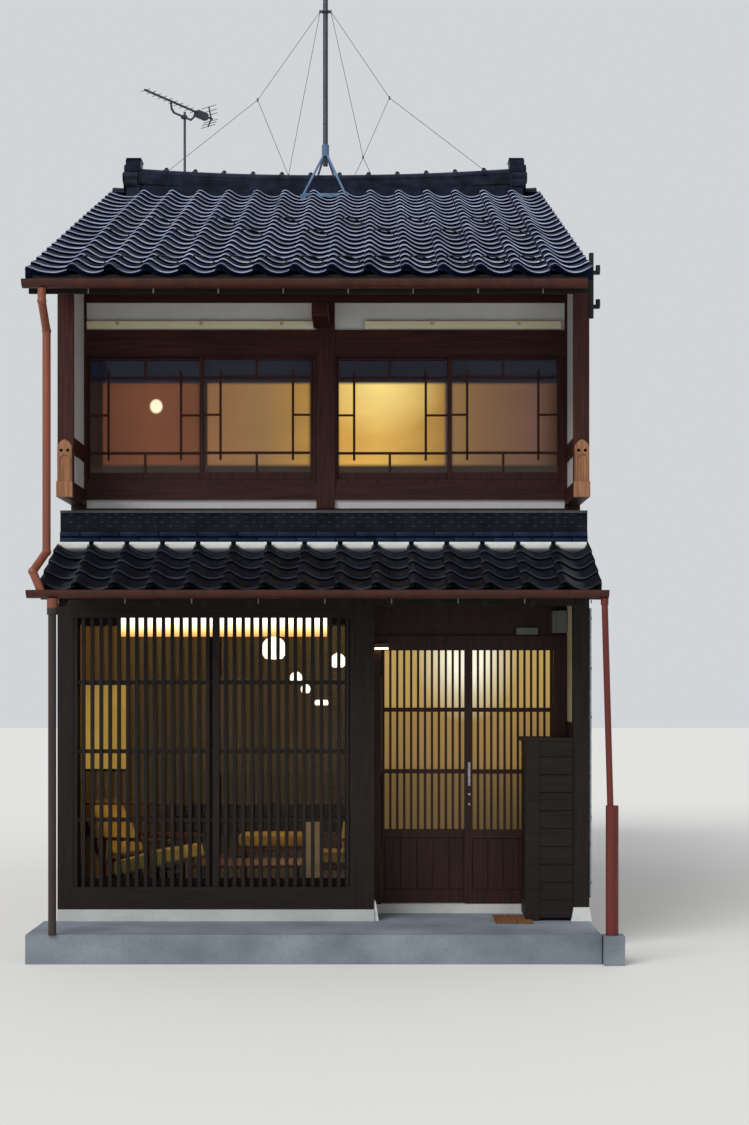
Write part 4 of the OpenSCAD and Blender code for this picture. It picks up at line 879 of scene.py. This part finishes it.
straps = [addStrap(x, y, rim) for y, rim, places in strap["frontRows"] for x in places]
straps += [addStrap(x, strap["backStrap"], strap["backRim"]) for x in strap["frontRows"][0][2]]
finish(join("gutterStraps", straps), gutterPaint, smooth=40)
clips = [addClip(x, y, rim) for y, rim, places in strap["frontRows"] for x in places]
clips += [addClip(x, strap["backClip"], strap["backRim"]) for x in strap["frontRows"][0][2]]
finish(join("gutterClips", clips), clipPaint)

# Upper windows: slim jambs, two sashes a bay on tracks of their own, and their glass
upperWindow = {"z": (3.613, 4.642), "y": (-3.016, -2.926), "foot": 0.040, "head": 0.012, "sashFoot": 0.056,
               "sashHead": 0.020, "thick": 0.026, "glass": (0.010, 0.015), "bevel": 0.003}
upperBays = [  # outer and inner side of the left jamb, then of the right one
    (-1.908, -1.900, -0.1035, -0.0735), (0.0735, 0.0885, 1.872, 1.908)]
upperSashes = [  # sash from, glass from, glass to, sash to, front of the sash
    (-1.900, -1.888, -1.008, -0.974, -2.968), (-1.0075, -0.9735, -0.122, -0.1035, -3.000),
    (0.0885, 0.104, 0.9735, 1.0075, -2.968), (0.974, 1.008, 1.852, 1.872, -3.000)]
frameParts, sashParts, paneParts = [], [], []
low, high = upperWindow["z"]
front, back = upperWindow["y"]
for x0, x1, x2, x3 in upperBays:
    for a, b in ((x0, x1), (x2, x3)):
        frameParts.append(addBlock("jamb", (a, front, low), (b, back, high), upperWindow["bevel"]))
    for z0, z1 in ((low, low + upperWindow["foot"]), (high - upperWindow["head"], high)):
        frameParts.append(addBlock("rail", (x1 - 0.002, front + 0.001, z0), (x2 + 0.002, back - 0.001, z1), 0.002))
low, high = low + upperWindow["foot"], high - upperWindow["head"]
for x0, x1, x2, x3, y in upperSashes:
    back = y + upperWindow["thick"]
    for a, b in ((x0, x1), (x2, x3)):
        sashParts.append(addBlock("stile", (a, y, low), (b, back, high), upperWindow["bevel"]))
    for z0, z1 in ((low, low + upperWindow["sashFoot"]), (high - upperWindow["sashHead"], high)):
        sashParts.append(addBlock("rail", (x1 - 0.002, y + 0.001, z0), (x2 + 0.002, back - 0.001, z1),
                                  upperWindow["bevel"]))
    z0, z1 = low + upperWindow["sashFoot"], high - upperWindow["sashHead"]
    paneParts.append(addBlock("pane", (x1 - 0.001, y + upperWindow["glass"][0], z0 - 0.001),
                              (x2 + 0.001, y + upperWindow["glass"][1], z1 + 0.001), 0.0005))
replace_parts(finish(join("upperFrames", frameParts), redWood), "upper_window_frames")
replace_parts(finish(join("upperSashes", sashParts), redWood), "upper_sashes")
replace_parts(finish(join("upperPanes", paneParts), windowGlass), "upper_glass")

# Window bars of the upper sashes, in front of their glass
bars = {"upright": 0.020, "rail": 0.022, "inner": (-2.966, -2.9585), "outer": (-2.998, -2.9905), "bevel": 0.003,
        "uprightZ": (3.808, 4.532), "railZ": (3.866, 4.470), "middleZ": (4.161, 4.179)}
sashes = [  # glass from, glass to, uprights, short bar, which track
    (-1.888, -1.008, (-1.741, -1.160), -1.4465, "inner"), (-0.9735, -0.122, (-0.841, -0.262), -0.5515, "outer"),
    (0.104, 0.9735, (0.227, 0.801), 0.513, "inner"), (1.008, 1.852, (1.131, 1.700), 1.419, "outer")]
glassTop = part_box("upper_glass")[1][2]
windowBars = []
for x0, x1, uprights, short, track in sashes:
    y0, y1 = bars[track]
    spans = [(x - bars["upright"] / 2, x + bars["upright"] / 2, *bars["uprightZ"]) for x in uprights]
    spans += [(x0, x1, z - bars["rail"] / 2, z + bars["rail"] / 2) for z in bars["railZ"]]
    spans += [(short - 0.010, short + 0.010, 3.709, 3.855), (short - 0.010, short + 0.010, 4.481, glassTop),
              (x0, uprights[0], *bars["middleZ"]), (uprights[1], x1, *bars["middleZ"])]
    windowBars += [addBlock("bar", (a, y0, z0), (b, y1, z1), bars["bevel"]) for a, b, z0, z1 in spans]
finish(join("upperWindowBars", windowBars), redWood)

# Bars of the back windows, plain
backBars = []
for z0, z1 in ((0.995, 2.055), (3.658, 4.597)):
    for x0, x1 in ((-1.863, -1.0077), (-0.9737, -0.1185), (0.1185, 0.9737), (1.0077, 1.863)):
        for share in (0.25, 0.5, 0.75):
            x = x0 + share * (x1 - x0)
            backBars.append(addBlock("bar", (x - 0.010, 3.624, z0), (x + 0.010, 3.636, z1), 0.003))
        z = z0 + 0.72 * (z1 - z0)
        backBars.append(addBlock("bar", (x0, 3.623, z - 0.011), (x1, 3.640, z + 0.011), 0.003))
finish(join("backWindowBars", backBars), redWood)

# Paper screens on the room side of the back windows, each sheet in a light frame between two rails
backScreens, backFrames = [], []
for z0, z1 in ((0.93, 2.12), (3.60, 4.66)):
    for k in range(4):
        x0 = -1.90 + 0.95 * k
        backScreens.append(addBlock("sheet", (x0 + 0.025, 3.533, z0 + 0.035), (x0 + 0.925, 3.536, z1 - 0.035), 0.001))
        for a, b, low, high in ((x0, x0 + 0.03, z0, z1), (x0 + 0.92, x0 + 0.95, z0, z1),
                                (x0 + 0.03, x0 + 0.92, z0, z0 + 0.04), (x0 + 0.03, x0 + 0.92, z1 - 0.04, z1)):
            backFrames.append(addBlock("stile", (a, 3.525, low), (b, 3.545, high), 0.002))
    for low, high in ((z0 - 0.035, z0), (z1, z1 + 0.035)):
        backFrames.append(addBlock("rail", (-1.928, 3.510, low), (1.928, 3.552, high), 0.003))
finish(join("backScreens", backScreens), backPaper)
finish(join("backScreenFrames", backFrames), redWood)

# Cream picture rails over the plaster of the upper wall, with small clips
batten = {"z": (4.851, 4.914), "y": (-3.041, -3.004), "runs": [(-1.906, -0.092), (0.310, 1.881)]}
battens = [addBlock("batten", (x0, batten["y"][0], batten["z"][0]), (x1, batten["y"][1], batten["z"][1]), 0.006)
           for x0, x1 in batten["runs"]]
finish(join("creamBattens", battens), battenPaint)
battenClips = [addBlock("battenClip", (x - 0.014, -3.044, 4.878), (x + 0.014, -3.030, 4.918), 0.003)
               for x in (-1.66, -0.99, -0.35, 0.85, 1.54)]
finish(join("battenClips", battenClips), creamPlaster)
print("windows and battens done")

# Boards of the low porch screen
screenBoard = {"low": 0.232, "step": 0.137, "high": 0.132, "top": 1.578, "count": 10}
screenBoards = []
for k in range(screenBoard["count"]):
    z0 = screenBoard["low"] + screenBoard["step"] * k
    z1 = min(z0 + screenBoard["high"], screenBoard["top"])
    screenBoards.append(addBlock("board", (1.650, -3.643, z0), (1.908, -3.636, z1), 0.0025))
    screenBoards.append(addBlock("board", (1.543, -3.592, z0), (1.5505, -3.252, z1), 0.0025))
finish(join("screenBoards", screenBoards), darkWoodX)

# Sliding leaves: slim stiles, a top rail that stays in the groove, eleven bars and two thin rails before the glass
leaf = {"z": (0.287, 2.297), "thick": 0.033, "foot": 0.390, "waist": (0.800, 0.868), "glassTop": 2.284,
        "glassIn": 0.022, "bars": 11, "barWide": 0.0184, "rails": (1.326, 1.814), "railHigh": 0.033, "boards": 5,
        "gap": 0.004}
for name, side, x0, x1, g0, g1, y in (("leftLeaf", "left", 0.448, 1.147, 0.470, 1.111, -3.125),
                                      ("rightLeaf", "right", 1.100, 1.799, 1.164, 1.776, -3.170)):
    back = y + leaf["thick"]
    parts = [addBlock("stile", (x0, y, leaf["z"][0]), (g0, back, leaf["z"][1]), 0.002),
             addBlock("stile", (g1, y, leaf["z"][0]), (x1, back, leaf["z"][1]), 0.002)]
    for low, high in ((leaf["z"][0], leaf["foot"]), leaf["waist"], (leaf["glassTop"], leaf["z"][1])):
        parts.append(addBlock("rail", (g0 - 0.002, y + 0.001, low), (g1 + 0.002, back - 0.001, high), 0.001))
    parts.append(addBlock("ground", (g0 - 0.002, y + 0.0135, leaf["foot"] - 0.002),
                          (g1 + 0.002, y + 0.022, leaf["waist"][0] + 0.002)))
    step = (g1 - g0 + leaf["barWide"]) / (leaf["bars"] + 1)
    for k in range(1, leaf["bars"] + 1):
        x = g0 + k * step
        parts.append(addBlock("bar", (x - leaf["barWide"], y + 0.003, leaf["waist"][1] - 0.002),
                              (x, y + 0.018, leaf["glassTop"] + 0.002), 0.0015))
    for z in leaf["rails"]:
        parts.append(addBlock("thinRail", (g0 - 0.002, y + 0.008, z - leaf["railHigh"] / 2),
                              (g1 + 0.002, y + 0.0215, z + leaf["railHigh"] / 2), 0.0015))
    wide = (g1 - g0) / leaf["boards"]
    for k in range(leaf["boards"]):
        parts.append(addBlock("board", (g0 + wide * k + leaf["gap"] / 2, y + 0.006, leaf["foot"] + 0.002),
                              (g0 + wide * (k + 1) - leaf["gap"] / 2, y + 0.0137, leaf["waist"][0] - 0.002), 0.002))
    wood = finish(join(name, parts), doorWood, side + "_leaf")
    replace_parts(wood, "door_leaf_" + side)
    pane = addBlock(name + "Glass", (g0 - 0.001, y + leaf["glassIn"], leaf["waist"][1] - 0.001),
                    (g1 + 0.001, y + leaf["glassIn"] + 0.005, leaf["glassTop"] + 0.001), 0.0005)
    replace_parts(finish(pane, doorGlass, side + "_leaf"), "door_glass_" + side)

# A pull let into the meeting stile of the right leaf, with two turn knobs under it
pull = {"x": (1.126, 1.148), "plate": (1.213, 1.402), "turn": 1.149, "apart": 0.079}
pullParts = []
plate = addBlock("pull", (pull["x"][0], -3.1725, pull["plate"][0]), (pull["x"][1], -3.1695, pull["plate"][1]), 0.001)
editAll(plate)
selectFaces(plate, lambda f: f.normal.y < -0.9)
bpy.ops.mesh.inset(thickness=0.003)
bpy.ops.transform.translate(value=(0, 0.0018, 0))
leaveEdit()
pullParts.append(plate)
for z in (pull["turn"], pull["turn"] - pull["apart"]):
    knob = addRod("pull", (1.137, -3.1745, z), (1.137, -3.1690, z), 0.009, 14)
    editAll(knob)
    selectFaces(knob, lambda f: f.normal.y < -0.9)
    bpy.ops.mesh.inset(thickness=0.0035)
    bpy.ops.transform.translate(value=(0, 0.0015, 0))
    leaveEdit()
    pullParts.append(knob)
finish(join("doorPull", pullParts), zinc, "right_leaf", smooth=30)

# Bare plate on the transom, coir mat on the porch floor
finish(addBlock("transomPlate", (1.508, -3.198, 2.408), (1.679, -3.189, 2.463), 0.003), boxPlastic)
mat = addBlock("porchMat", (1.305, -3.815, 0.2095), (1.590, -3.36, 0.222), 0.003)
coir = stainedCedar("coirMat", "#5c3a24", "#93623f", "Y", roughness=0.9)
finish(mat, coir)

# Electric conduit clipped to the side of the right post
conduit = {"x": 2.042, "y": -3.60, "z": (0.382, 2.60), "radius": 0.011, "saddles": (2.138, 1.765, 0.998, 2.52, 0.50)}
x, y = conduit["x"], conduit["y"]
pipe = addRod("conduit", (x, y, conduit["z"][0]), (x, y, conduit["z"][1]), conduit["radius"], 14)
finish(pipe, zinc, smooth=40)
saddles = []
for z in conduit["saddles"]:
    saddles.append(addBlock("saddle", (2.0295, -3.630, z - 0.012), (2.034, -3.570, z + 0.012), 0.002))
    saddles.append(addRod("saddle", (x, y, z - 0.010), (x, y, z + 0.010), 0.0135, 14))
finish(join("conduitSaddles", saddles), stripPaint, smooth=40)
print("doors and porch done")

# Lattice of the ground floor window: fifteen bars on each side of a stouter one, with three rails behind
lattice = {"z": (0.469, 2.526), "barY": (-3.644, -3.614), "wide": 0.028, "jamb": (-1.910, -1.878),
           "runs": ((-1.834, 0.0679, 15), (-0.746, 0.0664, 15)), "middle": (-0.848, -0.794), "end": 0.203,
           "rails": (0.981, 1.504, 2.031), "railHigh": 0.031}
low, high = lattice["z"]
latticeParts = [addBlock("jamb", (lattice["jamb"][0], -3.646, low), (lattice["jamb"][1], -3.600, high), 0.003),
                addBlock("middle", (lattice["middle"][0], -3.648, low), (lattice["middle"][1], -3.590, high), 0.003)]
for x, step, count in lattice["runs"]:
    bar = addBlock("bar", (x - lattice["wide"] / 2, lattice["barY"][0], low),
                   (x + lattice["wide"] / 2, lattice["barY"][1], high), 0.002)
    latticeParts.append(repeat(bar, count, (step, 0, 0)))
for z in lattice["rails"]:
    latticeParts.append(addBlock("rail", (lattice["jamb"][0], -3.629, z - lattice["railHigh"] / 2),
                                 (lattice["end"], -3.602, z + lattice["railHigh"] / 2), 0.002))
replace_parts(finish(join("windowLattice", latticeParts), darkWood), "front_lattice")

# Behind the lattice: the diffuser of the strip lamp, and the hanging lamps
cove = addBlock("coveDiffuser", (-1.552, -3.5882, 2.382), (0.025, -3.5818, 2.5245), 0.0015)
finish(cove, coveShade)
lampCeiling = 3.149
lamps = [((-0.525, -1.0, 2.33), 0.112), ((-0.41, 1.0, 2.07), 0.062), ((0.058, -1.0, 2.22), 0.07),
         ((-0.328, 1.4, 1.954), 0.05), ((-0.232, 2.4, 1.80), 0.034), ((-0.150, 2.4, 1.80), 0.034)]
shades, stems = [], []
for (x, y, z), radius in lamps:
    deselectAll()
    bpy.ops.mesh.primitive_uv_sphere_add(segments=20, ring_count=12, radius=radius, location=(x, y, z))
    shade = bpy.context.object
    shade.name = "shade"
    shade.scale.z = 1.05
    settle(shade)
    editAll(shade)
    selectPoints(shade, lambda p: p.z < z - radius * 0.8)
    bpy.ops.transform.resize(value=(1, 1, 0.0), center_override=(x, y, z - radius * 0.8))
    leaveEdit()
    shades.append(shade)
    stems.append(addRod("stem", (x, y, z + radius * 0.9), (x, y, lampCeiling), 0.006, 8))
    stems.append(addRod("stem", (x, y, z + radius * 0.86), (x, y, z + radius * 1.25), 0.018, 12))
finish(join("hangingLamps", shades), lampShade, smooth=60)
finish(join("lampStems", stems), zinc, smooth=40)
print("lamps done")

# Reed blinds that hang behind the lattice, each on a rod, and a paper panel on two posts
blind = {"y": -3.38, "z": (1.09, 2.47), "runs": [(-1.875, -0.88), (-0.80, 0.17)], "hook": 2.932}
blindSheets, rods = [], []
y, (low, high) = blind["y"], blind["z"]
for x0, x1 in blind["runs"]:
    sheet = addBlock("blind", (x0, y - 0.001, low), (x1, y + 0.001, high))
    editAll(sheet)
    bpy.ops.mesh.subdivide(number_cuts=3)
    leaveEdit()
    blindSheets.append(sheet)
    rods.append(addRod("rod", (x0 - 0.01, y, high + 0.008), (x1 + 0.01, y, high + 0.008), 0.011, 10))
    rods.append(addRod("rod", (x0, y, low - 0.006), (x1, y, low - 0.006), 0.007, 10))
    for x in (x0 + 0.12, x1 - 0.12):
        rods.append(addRod("rod", (x, y, high), (x, y, blind["hook"]), 0.003, 6))
finish(join("reedBlinds", blindSheets), reedBlind)
finish(join("blindRods", rods), chairWood, smooth=40)
panel = addBlock("paperPanel", (-1.853, -3.452, 1.361), (-1.533, -3.448, 2.011))
editAll(panel)
bpy.ops.mesh.subdivide(number_cuts=2)
leaveEdit()
finish(panel, panelPaper)
panelPosts = [addBlock("post", (x - 0.010, -3.462, 0.279), (x + 0.010, -3.438, 2.03), 0.003)
              for x in (-1.864, -1.522)]
panelPosts += [addBlock("post", (-1.870, -3.459, z - 0.010), (-1.516, -3.441, z + 0.010), 0.003)
               for z in (1.352, 2.020)]
finish(join("panelPosts", panelPosts), darkWood)

def makeCushion(name, size, place, turn, puff):
    # a block whose top and underside swell towards their middles, rounded by a subdivision surface
    cushion = addBlock(name, [-s / 2 for s in size], [s / 2 for s in size])
    editAll(cushion)
    bpy.ops.mesh.subdivide(number_cuts=4)
    for share, grow in ((0.62, 0.6), (0.25, 1.0)):
        for side in (-1, 1):
            selectPoints(cushion, lambda p: (p.z * side > size[2] * 0.45 and abs(p.x) < size[0] * share * 0.5
                                             and abs(p.y) < size[1] * share * 0.5))
            bpy.ops.transform.translate(value=(0, 0, side * puff * grow))
    selectPoints(cushion, lambda p: (abs(p.z) < size[2] * 0.35
                                     and (abs(p.x) > size[0] * 0.45 or abs(p.y) > size[1] * 0.45)))
    bpy.ops.transform.resize(value=(1.012, 1.012, 1), center_override=(0, 0, 0))
    leaveEdit()
    rounding = cushion.modifiers.new("round", "SUBSURF")
    rounding.levels = rounding.render_levels = 2
    bpy.ops.object.modifier_apply(modifier=rounding.name)
    cushion.rotation_euler = turn
    cushion.location = place
    return settle(cushion)


def addLegs(xs, ys, low, high, half, bevel):
    # square or flat legs, one for each pair of places
    return [addBlock("leg", (x - half[0], y - half[1], low), (x + half[0], y + half[1], high), bevel)
            for x in xs for y in ys]


# Lounge chair: two wool cushions on a beech frame, and a low table beside it
roomFloor = 0.281
chair = {"seat": (0.60, 0.50, 0.12), "seatAt": (-1.32, -3.06, 0.625), "back": (0.48, 0.48, 0.11),
         "backAt": (-1.74, -3.06, 0.86), "armTop": 0.815, "front": -1.10, "rear": -1.66, "sides": (-3.335, -2.785),
         "turn": 22, "centre": (-1.40, -3.06, 0)}


def turnChair(piece):
    # the chair looks a little towards the street
    editAll(piece)
    bpy.ops.transform.rotate(value=math.radians(chair["turn"]), orient_axis="Z", center_override=chair["centre"])
    leaveEdit()
    return piece


for cushion in (makeCushion("seatCushion", chair["seat"], chair["seatAt"], (0, math.radians(-14), 0), 0.012),
                makeCushion("backCushion", chair["back"], chair["backAt"], (0, math.radians(60), 0), 0.010)):
    finish(turnChair(cushion), seatWool, smooth=60)
frameParts = []
for y in chair["sides"]:
    frameParts.append(addBlock("arm", (chair["rear"] - 0.06, y - 0.022, chair["armTop"] - 0.026),
                               (chair["front"] + 0.03, y + 0.022, chair["armTop"]), 0.006))
    frameParts += addLegs((chair["front"] - 0.15, chair["rear"]), (y,), roomFloor, chair["armTop"] - 0.02,
                          (0.02, 0.014), 0.004)
    frameParts.append(addBlock("rail", (chair["rear"], y - 0.010, 0.44), (chair["front"] - 0.14, y + 0.010, 0.49),
                               0.004))
for x in (chair["rear"], chair["front"] - 0.15):
    z = 0.455 if x < -1.4 else 0.53
    frameParts.append(addBlock("rail", (x - 0.015, chair["sides"][0], z), (x + 0.015, chair["sides"][1], z + 0.05),
                               0.004))
slant = addBlock("slant", (-0.02, chair["sides"][0] + 0.02, -0.32), (0.0, chair["sides"][1] - 0.02, 0.28), 0.004)
slant.rotation_euler = (0, math.radians(-30), 0)
slant.location = (-1.80, 0, 0.82)
frameParts.append(settle(slant))
finish(turnChair(join("chairFrame", frameParts)), chairWood)
tableParts = [addBlock("board", (-1.05, -3.10, 0.555), (-0.19, -2.55, 0.582), 0.004)]
tableParts += addLegs((-1.0, -0.24), (-3.05, -2.6), roomFloor, 0.557, (0.018, 0.018), 0.004)
finish(join("lowTable", tableParts), chairWood)
stand = addBlock("whiteStand", (-0.165, -2.95, roomFloor), (-0.030, -2.83, 0.925), 0.006)
finish(stand, creamPlaster)

# Further back: a low bench with a long cushion, and a small side chair
benchParts = [addBlock("board", (-0.80, -1.93, 0.575), (-0.16, -1.47, 0.605), 0.004)]
benchParts += addLegs((-0.75, -0.21), (-1.88, -1.52), roomFloor, 0.577, (0.02, 0.02), 0.004)
finish(join("benchFrame", benchParts), chairWood)
sideParts = []
for y in (-2.74, -2.30):
    sideParts.append(addBlock("arm", (-0.150, y - 0.015, 0.735), (0.225, y + 0.015, 0.760), 0.004))
    sideParts += addLegs((-0.125, 0.200), (y,), roomFloor, 0.740, (0.016, 0.012), 0.004)
    sideParts.append(addBlock("rail", (-0.12, y - 0.009, 0.50), (0.195, y + 0.009, 0.54), 0.003))
sideParts.append(addBlock("rail", (-0.135, -2.735, 0.50), (-0.115, -2.305, 0.54), 0.003))
finish(join("sideChairFrame", sideParts), chairWood)
for cushion in (makeCushion("benchCushion", (0.60, 0.42, 0.10), (-0.48, -1.70, 0.665), (0, 0, 0), 0.010),
                makeCushion("sideSeatCushion", (0.27, 0.38, 0.09), (0.02, -2.52, 0.598), (0, 0, 0), 0.008),
                makeCushion("sideBackCushion", (0.27, 0.38, 0.08), (0.172, -2.52, 0.76), (0, math.radians(90), 0),
                            0.008)):
    finish(cushion, seatWool, smooth=60)
print("room pieces done")

# Service bar on the outside of the right sleeve wall, bare
serviceParts = [addBlock("bar", (2.028, -3.660, 4.81), (2.062, -3.628, 5.31), 0.004)]
for z in (4.90, 5.16):
    serviceParts.append(addBlock("bar", (2.024, -3.652, z - 0.016), (2.110, -3.636, z + 0.016), 0.003))
    serviceParts.append(addRod("knob", (2.096, -3.644, z), (2.096, -3.644, z + 0.055), 0.018, 12))
finish(join("serviceBar", serviceParts), ringIron, smooth=40)

# Floor, backdrop and light
studio = {"floor": "#dfddd9", "world": 0.75, "sun": 1.9, "sunAngle": 35}
deselectAll()
bpy.ops.mesh.primitive_plane_add(size=120, location=(0, 0, -0.002))
floor = bpy.context.object
floor.name = "paleFloor"
floorLook = newMaterial("paleStudioFloor", {"Roughness": 0.9, "Base Color": studio["floor"]})[0]
floor.data.materials.append(floorLook)

world = bpy.data.worlds.new("paleStudio")
bpy.context.scene.world = world
world.use_nodes = True
sky = world.node_tree.nodes["Background"]
sky.inputs["Color"].default_value = colour("#eef1f5")
sky.inputs["Strength"].default_value = studio["world"]

deselectAll()
bpy.ops.object.light_add(type="SUN", rotation=Euler((math.radians(48), math.radians(-14), math.radians(-24))))
sun = bpy.context.object
sun.name = "softSun"
sun.data.energy = studio["sun"]
sun.data.angle = math.radians(studio["sunAngle"])

# warm lamps in the room behind the lattice
for name, at, power in (("roomLampA", (-0.528, -1.0, 2.16), 20), ("roomLampB", (-0.3, 1.2, 1.85), 8),
                        ("roomLampC", (-0.65, -3.26, 2.2), 40), ("roomLampD", (1.2, 0.8, 2.4), 6)):
    deselectAll()
    bpy.ops.object.light_add(type="POINT", location=at)
    lamp = bpy.context.object
    lamp.name = name
    lamp.data.energy = power
    lamp.data.color = colour("#ffcf8a")[:3]
    lamp.data.shadow_soft_size = 0

bpy.context.scene.view_settings.view_transform = "Standard"
